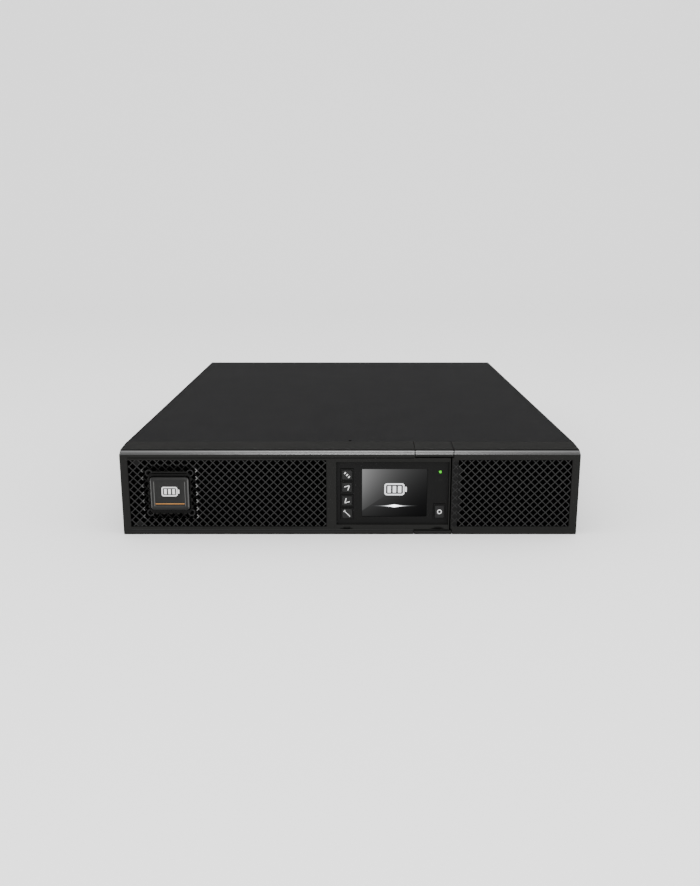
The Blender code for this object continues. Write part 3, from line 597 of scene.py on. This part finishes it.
def make_left_lattice():
    """Lattice of the front cover, with the deeper level behind the badge in a darker finish as painted
    shade.
    """
    low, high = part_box("left_grille")
    x = (low.x, high.x)
    z = (low.z, high.z)
    shift = LATTICE_SHIFT["left"]
    bm = lattice_mesh(x, z, low.y, low.y + STRUT_DEPTH, shift)
    plate = finished("left_lattice", bm, LATTICE, "front_cover", sharp=20.0)
    boolean(plate, pocket_prism(POCKET_SIZE, low.y - 0.01, low.y + 0.01), "DIFFERENCE")
    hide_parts("left_grille")
    shade_backing("left", FRONT + LEFT_BACKING_SETBACK, "front_cover")

    bm = lattice_mesh(x, z, FRONT + POCKET_LATTICE[0], FRONT + POCKET_LATTICE[1], shift)
    # Darker panel finish on the deeper lattice: painted shade of the recess
    deep = finished("pocket_lattice", bm, PANEL, "front_cover", sharp=20.0)
    boolean(deep, pocket_prism(POCKET_SIZE + 0.0012, low.y - 0.01, low.y + 0.02), "INTERSECT")
    middle = lattice_middle(x, z, shift)
    make_strut_tips(middle, low.y)
    blind_holes("left_blind_holes", middle, CLOSED_CELLS, low.y, "front_cover")


def blind_holes(name, middle, cells, y, body):
    """Closed diamonds in the holes of a lattice, each given by its column and row."""
    reach = HOLE_DIAGONAL / 2 - BLIND_MARGIN
    centres = [(middle[0] + i * HALF_PITCH, middle[1] + j * HALF_PITCH) for i, j in cells]
    outlines = [circle(centre, reach, 4) for centre in centres]
    plates(name, outlines, y + BLIND_SINK, y + STRUT_DEPTH, PANEL, body)


def make_strut_tips(middle, y):
    """Ends of the struts at the crossings along the left and right side of the pocket, with painted
    highlight, brighter on the right.
    """
    # Right tips take the brighter painted highlight, left tips the dimmer one
    for side, name, material in ((1, "right", BRIGHT_HIGHLIGHT), (-1, "left", DIM_HIGHLIGHT)):
        edge = POCKET_CENTRE[0] + side * POCKET_SIZE / 2
        column = round((edge + side * 0.0006 - middle[0]) / HALF_PITCH)
        bm = bmesh.new()
        for row in range(-12, 13):
            x = middle[0] + column * HALF_PITCH
            z = middle[1] + row * HALF_PITCH
            if (column + row) % 2 == 0 or abs(z - POCKET_CENTRE[1]) > POCKET_SIZE / 2 - 0.002:
                continue
            for way in (-1, 1):
                end = (x - side * TIP_REACH, z + way * TIP_REACH)
                stroke(bm, (x, z), end, TIP_WIDTH, y - TIP_RISE, TIP_DEPTH)
        finished(f"{name}_strut_tips", bm, material, "front_cover")


# ----------------------------------------
# Front trim, badge and display

def trim_strip(name, x, body, outer=None):
    """Satin strip on the sloping face, lighter than the bezel as painted sheen, with a painted highlight
    band: x holds both ends, outer is the one that follows the side.
    """
    top = Vector(TRIM_TOP)
    run = Vector(TRIM_FOOT) - top
    out = Vector((run.y, -run.x)).normalized()
    profile = ((-0.22, -0.0003), (-0.22, 0.00004), (-0.12, 0.00004), (-0.07, 0.00012), (0.22, 0.0003),
               (0.4, 0.00022), (0.48, 0.0001), (0.56, 0.0002), (0.93, 0.00014), (0.98, 0.00002),
               (0.98, -0.0003))
    # Bands: a black line for the groove at the top, a painted highlight band near the upper edge, painted
    # sheen on the rest
    finishes = (JOINT_AND_SHADE_BLACK, TRIM_SHEEN, TRIM_HIGHLIGHT)
    bands = (0, 0, 0, 1, 2, 1, 1, 1, 1, 1, 1)
    ends = []
    for index, reach in enumerate(x):
        ring = []
        for share, height in profile:
            spot = top + run * share + out * height
            if outer == index:
                reach = copysign(TRIM_HALF[0] + (TRIM_HALF[1] - TRIM_HALF[0]) * share, reach)
            ring.append((reach, FRONT + spot.x, spot.y))
        ends.append(ring)
    bm = bmesh.new()
    stack(bm, ends)
    for face, band in zip(bm.faces[:], bands):
        face.material_index = band
    strip = finished(name, bm, finishes[0], body, sharp=12.0)
    for finish in finishes[1:]:
        strip.data.materials.append(finish)


def make_trim():
    """Trim strip in three lengths: on the front cover, on the upper tab and on the fixed bezel."""
    trim_strip("left_trim_strip", (-1.0, TAB_X[0] - 0.0006), "front_cover", outer=0)
    trim_strip("tab_trim_strip", (TAB_X[0] + 0.0003, TAB_X[1] - 0.0003), "upper_tab")
    trim_strip("right_trim_strip", (TAB_X[1] + 0.0006, 1.0), "chassis", outer=1)


def beside_badge(x, z):
    """Point in X and Z, measured from the middle of the badge."""
    return (BADGE_CENTRE[0] + x, BADGE_CENTRE[1] + z)


def make_tray():
    """Tray behind the badge, with its flange, grooves, painted shadow of the badge, four lugs and scalloped
    rim.
    """
    bm = bmesh.new()
    section = ((0.0396, 0.0043), (0.0396, 0.0031), (0.039, 0.0027), (0.0382, 0.0027), (0.0378, 0.0032))
    stack(bm, [[(a, FRONT + setback, b) for a, b in rounded(BADGE_CENTRE, (size, size), size * 0.07)]
               for size, setback in section])
    tray = finished("badge_tray_shell", bm, PANEL, "front_cover")
    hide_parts("badge_tray")

    flange = rounded(beside_badge(0.0, 0.0202), (0.033, 0.0016), 0.0003)
    plates("tray_flange", [flange], FRONT + 0.0029, FRONT + 0.0043, BEZEL, "front_cover")
    bm = bmesh.new()
    groove = rounded(beside_badge(0.0, LUG_OFFSET), (0.033, 0.0008), 0.0002)
    extrude_y(bm, groove, FRONT + 0.00266, FRONT + 0.003)
    # Dark plate under the badge, wider to the right, top and bottom: painted shadow of the badge on the
    # tray
    width, height = size_of("badge_plate")
    shadow = rounded(beside_badge(0.0004, 0.0), (width + 0.0008, height + 0.0016), 0.003)
    extrude_y(bm, shadow, FRONT + 0.00312, FRONT + 0.0034)
    finished("tray_grooves_and_badge_shadow", bm, JOINT_AND_SHADE_BLACK, "front_cover")

    corners = [beside_badge(x, z) for x in (-LUG_OFFSET, LUG_OFFSET) for z in (-LUG_OFFSET, LUG_OFFSET)]
    lug = [(radius, FRONT + depth) for radius, depth in
           ((0.0034, 0.0037), (0.0033, 0.0033), (0.0025, 0.0033), (0.0024, 0.0037), (0.0024, 0.0044),
            (0.0034, 0.0044))]
    for number, centre in enumerate(corners, start=1):
        bm = bmesh.new()
        stack(bm, rings_of(centre, lug, 24), close=True)
        finished(f"badge_lug_{number}", bm, LATTICE, "front_cover")

    scallop = [(radius, FRONT + depth) for radius, depth in
               ((0.0017, 0.0044), (0.0017, 0.0036), (0.0012, 0.0032))]
    bm = bmesh.new()
    for index in range(-2, 3):
        offset = index * STRUT_PITCH * 0.9
        for side in (-SCALLOP_OFFSET, SCALLOP_OFFSET):
            for centre in (beside_badge(offset, side), beside_badge(side, offset)):
                stack(bm, rings_of(centre, scallop, 16))
    finished("tray_scallops", bm, BEZEL, "front_cover")


def make_badge():
    """Badge with painted highlight on its sloping side edges round a sunken face, with its mark and a line.
    """
    size = size_of("badge_plate")
    section = ((0.0, 0.0026), (0.0, 0.0014), (0.0006, 0.0007), (0.0013, 0.0003), (0.0034, 0.0002),
               (0.0041, 0.0007), (0.0046, 0.0008))
    bm = bmesh.new()
    rings = []
    for inset, depth in section:
        outline = grown(BADGE_CENTRE, size, -2 * inset, max(0.0035 - inset * 0.7, 0.0006))
        rings.append([(a, FRONT + depth, b) for a, b in outline])
    stack(bm, rings)
    # Sloping side faces take the lighter finish: painted highlight
    bm.normal_update()
    for face in bm.faces:
        if abs(face.normal.x) > 0.45 and abs(face.normal.y) > 0.2:
            face.material_index = 1
    plate = finished("badge_shell", bm, BADGE, "badge", sharp=50.0)
    plate.data.materials.append(DIM_HIGHLIGHT)
    boolean(plate, prism(circle(BADGE_CENTRE, 0.004), FRONT + 0.002, FRONT + 0.0041), "UNION")
    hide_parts("badge_plate")

    battery_mark("badge_mark", beside_badge(0.0, MARK_RISE), MARK_WIDTH, FRONT + FACE_DEPTH, WHITE_PRINT,
                 "badge")
    line = rounded(beside_badge(0.0, LINE_HEIGHT - size[1] / 2), LINE_SIZE, 0.0002)
    plates("badge_line", [line], FRONT + FACE_DEPTH, FRONT + 0.0009, ORANGE_PRINT, "badge")


def battery_mark(name, centre, width, y, material, body):
    """Generic battery sign: an outline with a terminal and three bars."""
    height = width * 0.62
    line = width * 0.075
    back = y + 0.00012
    outer = rounded(centre, (width, height), width * 0.13)
    inner = rounded(centre, (width - 2 * line, height - 2 * line), width * 0.07)
    bm = bmesh.new()
    frame_y(bm, outer, inner, y, back)
    finished(f"{name}_outline", bm, material, body)
    tip = (centre[0] + width / 2 + line * 0.9, centre[1])
    terminal = rounded(tip, (line * 1.3, height * 0.42), line * 0.4)
    plates(f"{name}_terminal", [terminal], y, back, material, body)
    for index in range(3):
        spot = (centre[0] + (index - 1) * width * 0.26, centre[1])
        cell = rounded(spot, (width * 0.17, height * 0.56), line * 0.3)
        plates(f"{name}_bar_{index + 1}", [cell], y, back, material, body)


def stroke(bm, start, end, width, y, thickness=PRINT):
    """Straight printed line."""
    a = Vector(start)
    b = Vector(end)
    side = (b - a).orthogonal().normalized() * width / 2
    outline = [tuple(a + side), tuple(b + side), tuple(b - side), tuple(a - side)]
    extrude_y(bm, outline, y, y + thickness)


def make_icons():
    """Signs on the keys: three bars, two arrow heads, a line with a foot, and a ring."""
    for name in KEYS:
        x, z = centre_of(name)
        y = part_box(name)[0].y - 0.00006
        bm = bmesh.new()
        if name == "escape_key":
            for offset in (-0.0019, 0.0, 0.0019):
                spot = (x + offset, z - offset)
                stroke(bm, (spot[0] - 0.0007, spot[1] - 0.0007),
                       (spot[0] + 0.0007, spot[1] + 0.0007), 0.0011, y)
        elif name == "enter_key":
            stroke(bm, (x - 0.0027, z + 0.0027), (x + 0.0028, z - 0.0028), 0.0006, y)
            stroke(bm, (x - 0.0034, z + 0.0018), (x - 0.0018, z + 0.0034), 0.0006, y)
        elif name == "power_button":
            section = ((0.0022, y), (0.0015, y), (0.0015, y + PRINT), (0.0022, y + PRINT))
            stack(bm, rings_of((x, z), section, 32), close=True)
        else:
            way = 1 if name == "up_key" else -1
            tip = (x + way * 0.0021, z + way * 0.0019)
            stroke(bm, tip, (tip[0] - way * 0.0047, tip[1] - way * 0.0013), 0.0007, y)
            stroke(bm, tip, (tip[0] - way * 0.0013, tip[1] - way * 0.0047), 0.0007, y)
        finished(f"{name}_sign", bm, WHITE_PRINT, name)


def screen_material(x, z):
    """Dark screen whose emission paints a reflection: a soft sheen that fades from the upper left, cut by a
    diagonal edge.
    """
    material, shader = new_material("screen_painted_reflection")
    link = material.node_tree.links.new
    put(shader, Base_Color=(0.0005, 0.0005, 0.0006, 1.0), Roughness=0.12, Specular_IOR_Level=0.0)

    def calculate(operation, first, second, clamp=False):
        """Result of one step of arithmetic on outputs and numbers."""
        node = add_node(material, "Math", operation)
        node.use_clamp = clamp
        for socket, value in zip(node.inputs, (first, second)):
            if isinstance(value, (int, float)):
                socket.default_value = value
            else:
                link(value, socket)
        return node.outputs[0]

    def share(output, span):
        """Place between two limits, from 0 to 1."""
        node = add_node(material, "MapRange", From_Min=span[0], From_Max=span[1])
        link(output, node.inputs["Value"])
        return node.outputs["Result"]

    place = add_node(material, "TexCoord")
    split = add_node(material, "SeparateXYZ")
    link(place.outputs["Object"], split.inputs["Vector"])
    across = share(split.outputs["X"], x)
    up = share(split.outputs["Z"], z)
    down = calculate("SUBTRACT", 1.0, up)
    slope = calculate("ADD", calculate("MULTIPLY", across, 1.13), calculate("MULTIPLY", down, 1.3))
    drop = calculate("MULTIPLY", down, calculate("ADD", slope, 0.36))
    fade = calculate("POWER", exp(-1), calculate("ADD", drop, calculate("MULTIPLY", across, 2.3)))
    edge = calculate("SUBTRACT", calculate("SUBTRACT", up, calculate("MULTIPLY", across, 0.91)), 0.11)
    lit = calculate("MULTIPLY", edge, 60.0, clamp=True)
    shaded = calculate("MINIMUM", calculate("ADD", calculate("MULTIPLY", across, 0.9), 0.5), 1.0)
    above = calculate("ADD", calculate("MULTIPLY", lit, calculate("SUBTRACT", 1.0, shaded)), shaded)
    glow = calculate("ADD", calculate("MULTIPLY", fade, above), 0.012)
    colour = add_node(material, "CombineColor")
    for channel in ("Red", "Green", "Blue"):
        link(glow, colour.inputs[channel])
    # The computed glow is emitted: a painted reflection on the screen
    link(colour.outputs["Color"], shader.inputs["Emission Color"])
    put(shader, Emission_Strength=SCREEN_REFLECTION_GLOW)
    return material


def make_display():
    """Panel, screen with its painted reflection, light and keys, with their prints and the fine lines round
    them.
    """
    low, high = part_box("display_window")
    refine("display_panel", PANEL, 0.0004)
    refine("display_window", screen_material((low.x, high.x), (low.z, high.z)), 0.0003)
    refine("led_lens", LED_GLOW, 0.0004, 3)
    for name in KEYS:
        refine(name, KEYCAP, 0.0005, 3)
    make_icons()
    make_seams()
    make_panel_lines()
    x, z = centre_of("display_window")
    y = low.y - 0.00008
    battery_mark("screen_mark", (x, z + SCREEN_MARK[1]), SCREEN_MARK[0], y, SCREEN_WHITE, "front_cover")
    make_flare((x, z - FLARE_DROP), y)


def make_seams():
    """Seams, lips and painted shadows under the display notches of the front, with a painted highlight
    along the lower seam, and the pilot hole of the top cover.
    """
    y = FRONT - PRINT_RISE
    ends = (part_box("left_grille")[0].x, TAB_X[0] - 0.0008)
    bm = bmesh.new()
    for height, width in SEAMS:
        stroke(bm, (ends[0], height), (ends[1], height), width, y)
    # Dark spots on the front plane under the notches of the display: painted shadows
    for slot in NOTCH_SHADOWS:
        extrude_y(bm, rounded(slot, NOTCH_SHADOW_SIZE, 0.0003), y, y + PRINT)
    finished("bezel_seams_and_notch_shadows", bm, JOINT_AND_SHADE_BLACK, "front_cover")
    # Lighter band along the lower seam: painted highlight on the edges of its groove
    bm = bmesh.new()
    stroke(bm, (ends[0], SEAMS[0][0]), (ends[1], SEAMS[0][0]), SEAM_HIGHLIGHT_WIDTH, y + PRINT_RISE / 2)
    finished("lower_seam_highlight", bm, LATTICE, "front_cover")

    reach = TRIM_HALF[1]
    for name, x, body in (("left_lip", (-reach, TAB_X[0] - 0.0003), "front_cover"),
                          ("tab_lip", (TAB_X[0] + 0.0001, TAB_X[1] - 0.0001), "lower_tab"),
                          ("right_lip", (TAB_X[1] + 0.0003, reach), "chassis")):
        middle = ((x[0] + x[1]) / 2, sum(LIP_HEIGHTS) / 2)
        outline = rounded(middle, (x[1] - x[0], LIP_HEIGHTS[1] - LIP_HEIGHTS[0]), 0.0002)
        plates(name, [outline], FRONT - PRINT_RISE / 2, FRONT + LIP_DEPTH, BEZEL, body)

    bm = bmesh.new()
    outline = rounded((0.0, CASE_FRONT + 0.0032), (0.0026, 0.0036), 0.0012)
    extrude_z(bm, outline, CASE_TOP - 0.00006, CASE_TOP + PRINT_RISE)
    finished("cover_pilot_hole", bm, JOINT_AND_SHADE_BLACK, "chassis")


def make_panel_lines():
    """Gaps round the keys with painted shadow on their upper and left sides, the seat of the panel and a
    faint dash under the light.
    """
    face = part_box("display_panel")[0].y
    front = face - PRINT_RISE
    back = face + 0.00006
    bm = bmesh.new()
    for name in KEYS:
        x, z = centre_of(name)
        size = size_of(name)
        inner = grown((x, z), size, 0.0003, 0.0006)
        # Outer edge shifted up and left: painted shadow above and left of each key, over the real gap
        outer = grown((x - 0.0001, z + 0.0002), size, 0.0009, 0.0008)
        frame_y(bm, outer, inner, front, back)
    finished("key_gaps_and_shadows", bm, JOINT_AND_SHADE_BLACK, "front_cover")

    foot = (centre_of("display_panel")[0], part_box("display_panel")[0].z)
    seat = rounded(foot, (size_of("display_panel")[0] - 0.002, 0.0012), 0.0002)
    plates("panel_seat", [seat], face + 0.0001, face + 0.0005, PANEL, "front_cover")
    light = centre_of("led_lens")
    dash = rounded((light[0], light[1] - 0.0076), (0.0032, 0.0005), 0.0002)
    plates("light_dash", [dash], front, back, BEZEL, "front_cover")


def make_flare(centre, y):
    """Spindle of light, in shells that get brighter towards its middle."""
    shells = ((0.0225, 0.0012, 0.08), (0.019, 0.0015, 0.18), (0.0155, 0.0016, 0.42), (0.012, 0.0015, 1.1),
              (0.0085, 0.0013, 6.0))
    for number, (reach, height, light) in enumerate(shells, start=1):
        upper = []
        for index in range(-10, 11):
            share = index / 10
            upper.append((centre[0] + share * reach, centre[1] + height * (1 - abs(share)) ** 1.6))
        lower = [(x, 2 * centre[1] - z) for x, z in upper[-2:0:-1]]
        material = glowing(f"flare_{number}", (0.9, 0.92, 0.94), light)
        plates(f"screen_flare_{number}", [upper + lower], y - number * 0.00002, y + PRINT, material,
               "front_cover")


# ----------------------------------------
# Rear and battery drawer

def hoop(bm, centre, radius, y, wire, sides=48):
    """Round wire bent to a ring that faces the rear."""
    section = [(radius + wire * cos(angle), y + wire * sin(angle))
               for angle in (step * tau / 8 for step in range(8))]
    turns = [index * tau / sides for index in range(sides)]
    stack(bm, [[(centre[0] + reach * cos(turn), depth, centre[1] + reach * sin(turn))
                for reach, depth in section] for turn in turns], close=True)


def bar(bm, start, end, wire):
    """Round wire between two points."""
    a = Vector(start)
    b = Vector(end)
    u = (b - a).orthogonal().normalized() * wire
    v = (b - a).normalized().cross(u)
    round_wire = [u * cos(turn) + v * sin(turn) for turn in (n * tau / 8 for n in range(8))]
    stack(bm, [[tuple(spot + offset) for offset in round_wire] for spot in (a, b)])


def screw_head(radius, rise):
    """Mesh of a pan head with a cross recess, standing on the origin."""
    head = bmesh.new()
    rings = [(radius, 0.0), (radius, rise * 0.45), (radius * 0.86, rise * 0.85), (radius * 0.6, rise)]
    stack(head, [[(a, b, height) for a, b in circle((0.0, 0.0), reach, 20)] for reach, height in rings])
    thing = loose(head)
    arm = radius * 0.52
    half = radius * 0.14
    outline = ((arm, half), (half, half), (half, arm), (-half, arm), (-half, half), (-arm, half),
               (-arm, -half), (-half, -half), (-half, -arm), (half, -arm), (half, -half), (arm, -half))
    cross = bmesh.new()
    extrude_z(cross, outline, rise * 0.4, rise * 1.5)
    boolean(thing, loose(cross), "DIFFERENCE")
    mesh = thing.data
    bpy.data.objects.remove(thing)
    return mesh


def screw_heads(name, spots, outward, radius, material, body="chassis", rise=0.0011):
    """Screw heads, all in one piece: spots lie on the surface they clamp."""
    rotation = Vector((0.0, 0.0, 1.0)).rotation_difference(Vector(outward)).to_matrix().to_4x4()
    bm = bmesh.new()
    for spot in spots:
        mesh = screw_head(radius, rise)
        mesh.transform(Matrix.Translation(spot) @ rotation)
        bm.from_mesh(mesh)
        bpy.data.meshes.remove(mesh)
    return finished(name, bm, material, body)


def make_guard(number, centre):
    """Wire guard of a fan: five rings, four bars with eyes, and the screws in the eyes."""
    y = CASE_BACK + GUARD_SETBACK
    bm = bmesh.new()
    for index in range(5):
        hoop(bm, centre, 0.0375 - index * 0.0066, y, GUARD_WIRE)
    corners = []
    for sx in (-1, 1):
        for sz in (-1, 1):
            tip = (centre[0] + sx * FAN_SCREW_OFFSET, y - 0.0004, centre[1] + sz * FAN_SCREW_OFFSET)
            root = (centre[0] + sx * 0.0075, y - 0.0004, centre[1] + sz * 0.0075)
            bar(bm, root, tip, GUARD_WIRE)
            hoop(bm, (tip[0], tip[2]), 0.0026, y, GUARD_WIRE, 16)
            corners.append((tip[0], y, tip[2]))
    guard = finished(f"fan_guard_wires_{number}", bm, CHROME, "chassis")
    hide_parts(f"fan_guard_{number}")
    screw_heads(f"fan_screws_{number}", corners, BACKWARD, 0.0031, SOCKET)


def make_rotor(number, centre):
    """Hub of a fan with its swept blades."""
    low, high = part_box(f"fan_rotor_{number}")
    hub = ((0.014, low.y), (0.0152, low.y + 0.001), (0.0155, high.y - 0.0016),
           (0.0146, high.y - 0.0004), (0.006, high.y), (0.0055, high.y - 0.0004))
    bm = bmesh.new()
    stack(bm, rings_of(centre, hub, 40))
    rotor = finished(f"fan_rotor_shell_{number}", bm, SOCKET, f"fan_spin_{number}")
    for blade in range(BLADE_COUNT):
        turn = blade * tau / BLADE_COUNT
        boolean(rotor, swept_blade(centre, (low.y + high.y) / 2, turn), "UNION")
    rotor.data.shade_smooth()
    rotor.data.set_sharp_from_angle(angle=radians(40))
    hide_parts(f"fan_rotor_{number}")


def swept_blade(centre, middle, turn):
    """Thin blade with a sickle sweep and a twist from root to tip."""
    bm = bmesh.new()
    sections = []
    profile = ((-1, 0), (-0.5, -0.5), (0, -0.6), (0.6, -0.45), (1, 0), (0.6, 0.45), (0, 0.6), (-0.5, 0.5))
    for step in range(7):
        share = step / 6
        radius = 0.014 + share * 0.0218
        chord = 0.0125 + share * 0.0085
        pitch = radians(46 - 14 * share)
        sweep = turn + 0.42 * share * share
        out = (cos(sweep), sin(sweep))
        side = (-out[1], out[0])
        section = []
        for along, across in profile:
            camber = 0.0012 * (1 - along * along)
            u = along * chord / 2
            w = across * 0.0011 + camber
            swing = u * cos(pitch) - w * sin(pitch)
            rise = u * sin(pitch) + w * cos(pitch)
            section.append((centre[0] + out[0] * radius + side[0] * swing, middle + rise * 0.9,
                            centre[1] + out[1] * radius + side[1] * swing))
        sections.append(section)
    stack(bm, sections)
    return loose(bm)


def contacts(name, centres, size, depths, material):
    """Small contact blocks between two depths from the back of the case."""
    outlines = [rounded(centre, size, min(size) * 0.3, 3) for centre in centres]
    plates(name, outlines, CASE_BACK + depths[0], CASE_BACK + depths[1], material, "chassis")


def make_inlet_and_outlets():
    """Pins and screws of the inlet, contacts of the outlets and of the battery connector."""
    x, z = centre_of("mains_inlet")
    contacts("inlet_pins", [(x - 0.01, z), (x, z), (x + 0.01, z)], (0.0022, 0.0082), (-0.015, -0.0013),
             CHROME)
    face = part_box("mains_inlet")[1].y
    screw_heads("inlet_screws", [(x + side * 0.0213, face, z) for side in (-1, 1)], BACKWARD, 0.0018,
                SOCKET, rise=0.0008)

    outlets = []
    for name in ("outlet_block_lower", "outlet_block_upper"):
        x, z = centre_of(name)
        outlets += [(x + column * OUTLET_PITCH, z) for column in (-1, 0, 1)]
    outlets.append(centre_of("large_outlet"))
    poles = [(x + dx, z + dz) for x, z in outlets
             for dx, dz in ((-0.007, -0.0015), (0.0, 0.0025), (0.007, -0.0015))]
    contacts("outlet_contacts", poles, (0.0019, 0.0056), (-0.0088, -0.0002), BRASS)

    x, z = centre_of("battery_connector")
    poles = [(x + side * 0.01, z - 0.0025) for side in (-1, 1)]
    contacts("battery_port_contacts", poles, (0.0102, 0.0016), (-0.0118, -0.0018), BRASS)


def make_ports():
    """Tongue of the USB port, and the serial port with its shell, insert, pins and standoffs."""
    contacts("usb_tongue", [centre_of("usb_port")], (0.0058, 0.0034), (-0.0088, -0.0008), WHITE_PLASTIC)
    port = centre_of("serial_port")
    flange = rounded(port, size_of("serial_port"), 0.0022)
    plate = plates("serial_port_shell", [flange], CASE_BACK + 0.0003, CASE_BACK + 0.0012, ZINC, "chassis")
    steps = ((0.0, -0.01, 0.0058, "UNION"), (0.0006, 0.0016, 0.007, "DIFFERENCE"))
    for inset, start, end, operation in steps:
        boolean(plate, prism(d_outline(port, inset), CASE_BACK + start, CASE_BACK + end), operation)
    plate.data.shade_smooth()
    plate.data.set_sharp_from_angle(angle=radians(35))
    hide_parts("serial_port")
    plates("serial_port_insert", [d_outline(port, 0.0018)], CASE_BACK + 0.001, CASE_BACK + 0.0048,
           SOCKET, "chassis")
    pins = [(port[0] + (index - (count - 1) / 2) * 0.0026, port[1] + row * 0.0013)
            for row, count in ((1, 5), (-1, 4)) for index in range(count)]
    plates("serial_port_pins", [circle(pin, 0.00045, 10) for pin in pins], CASE_BACK + 0.0046,
           CASE_BACK + 0.005, BRASS, "chassis")
    standoff = [(radius, CASE_BACK + depth) for radius, depth in
                ((0.0024, 0.001), (0.0024, 0.0038), (0.0021, 0.0042), (0.0012, 0.0042), (0.0012, 0.003))]
    bm = bmesh.new()
    for side in (-1, 1):
        stack(bm, rings_of((port[0] + side * 0.0125, port[1]), standoff, 6))
    finished("serial_port_standoffs", bm, CHROME, "chassis")


def make_breaker_nut():
    """Six-sided nut round the neck of the breaker."""
    section = [(radius, CASE_BACK + depth) for radius, depth in
               ((0.0088, 0.0002), (0.0088, 0.0021), (0.0078, 0.0027), (0.0057, 0.0027), (0.0057, 0.0002))]
    bm = bmesh.new()
    stack(bm, rings_of(centre_of("breaker_body"), section, 6), close=True)
    finished("breaker_nut", bm, CHROME, "chassis")


def d_outline(centre, inset):
    """D-shaped shell of a nine-pole plug, wider at the top."""
    tall = 0.0084 / 2 - inset
    wide = 0.017 / 2 - inset
    points = []
    for sx, sz, half in ((1, 1, wide), (-1, 1, wide), (-1, -1, wide - 0.001), (1, -1, wide - 0.001)):
        corner = 0.0018
        ends = ((sx * (half - corner), sz * tall), (sx * half, sz * (tall - corner)))
        for share in (0.0, 0.3, 0.7, 1.0):
            step = share if sx * sz < 0 else 1 - share
            a = Vector(ends[0]).lerp(Vector(ends[1]), step)
            bulge = 1 + 0.05 * sin(step * pi)
            points.append((centre[0] + a.x * bulge, centre[1] + a.y * bulge))
    return points


def make_rear():
    """Fans and fittings of the rear, with the screws of the panels and the sides."""
    for number in (1, 2):
        centre = centre_of(f"fan_frame_{number}")
        make_guard(number, centre)
        make_rotor(number, centre)
    make_inlet_and_outlets()
    make_ports()
    make_breaker_nut()
    low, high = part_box("slot_cover")
    middle = (low.z + high.z) / 2
    screw_heads("slot_cover_screws", [(x, high.y, middle) for x in (low.x + 0.0038, high.x - 0.0038)],
                BACKWARD, 0.003, CHROME)
    screw_heads("rear_screws", [(x, CASE_BACK, z) for x, z in REAR_SCREWS], BACKWARD, 0.0027, SOCKET)
    screw_heads("earth_screw", [(EARTH_SCREW[0], CASE_BACK, EARTH_SCREW[1])], BACKWARD, 0.0034, BRASS)
    for side, name in ((-1, "left"), (1, "right")):
        spots = [(side * SIDE, CASE_FRONT + setback, z) for setback, z in SIDE_SCREWS]
        screw_heads(f"{name}_side_screws", spots, (side, 0, 0), 0.003, SOCKET, rise=0.0005)


def make_battery():
    """Lids and blank labels of the blocks, and the screws of the drawer and its handle."""
    for number in range(1, 7):
        block = f"battery_block_{number}"
        low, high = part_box(block)
        refine(block, BATTERY, 0.0018, 3)
        middle = ((low.y + high.y) / 2, (low.z + high.z) / 2)
        section = ((0.015, -0.001), (0.0146, 0.0002), (0.0026, 0.0002), (0.0018, -0.0006), (0.0018, -0.003))
        rings = []
        for inset, growth in section:
            outline = grown(middle, (high.y - low.y, high.z - low.z), growth, 0.0022)
            rings.append([(high.x - inset, a, b) for a, b in outline])
        bm = bmesh.new()
        stack(bm, rings)
        finished(f"battery_lid_{number}", bm, BATTERY, "battery")
        outline = rounded(((low.x + high.x) / 2 - 0.006, middle[0]), LABEL_SIZE, 0.0015)
        bm = bmesh.new()
        extrude_z(bm, outline, high.z - 0.0001, high.z + 0.00012)
        finished(f"battery_label_{number}", bm, LABEL, "battery")
    low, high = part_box("battery_faceplate")
    spots = [(x, low.y, z) for x in (low.x + 0.008, high.x - 0.008)
             for z in (low.z + 0.008, high.z - 0.008)]
    screw_heads("drawer_screws", spots, FORWARD, 0.0034, CHROME, "battery")
    low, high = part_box("battery_handle")
    spots = [(x, low.y + 0.0152, (low.z + high.z) / 2) for x in (low.x - 0.004, high.x + 0.004)]
    screw_heads("handle_screws", spots, FORWARD, 0.0028, CHROME, "battery")


FINISHES = (
    ("top_cover", POWDER, 0.0008, 3),
    ("chassis_pan rear_panel socket_panel slot_cover", POWDER, 0.0003, 2),
    ("left_bezel right_bezel upper_release_tab lower_release_tab", BEZEL, 0.0005, 2),
    ("front_wall battery_faceplate", CHARCOAL, 0.0002, 1),
    ("bay_divider bay_rear_wall battery_tray usb_port", ZINC, 0.0002, 1),
    ("battery_handle", CHARCOAL, 0.0012, 3),
    ("battery_plug battery_socket lcd_module", SOCKET, 0.0005, 2),
    ("fan_frame_1 fan_frame_2 mains_inlet breaker_body battery_connector", SOCKET, 0.0003, 2),
    ("large_outlet outlet_block_lower outlet_block_upper", SOCKET, 0.0003, 2),
    ("breaker_button", WHITE_PLASTIC, 0.0005, 3),
    ("display_board main_board", BOARD, 0.0001, 1),
    ("heat_sink_1 heat_sink_2", ANODISED, 0.0002, 1),
    ("bulk_capacitor_1 bulk_capacitor_2", SLEEVE, 0.0012, 3),
    ("boost_choke output_choke", COPPER, 0.003, 3),
    ("transformer", IRON, 0.0008, 2),
)


# ----------------------------------------
stage()
make_right_lattice()
make_left_lattice()
make_trim()
make_tray()
make_badge()
make_display()
make_rear()
make_battery()
for names, material, width, segments in FINISHES:
    for name in names.split():
        refine(name, material, width, segments)
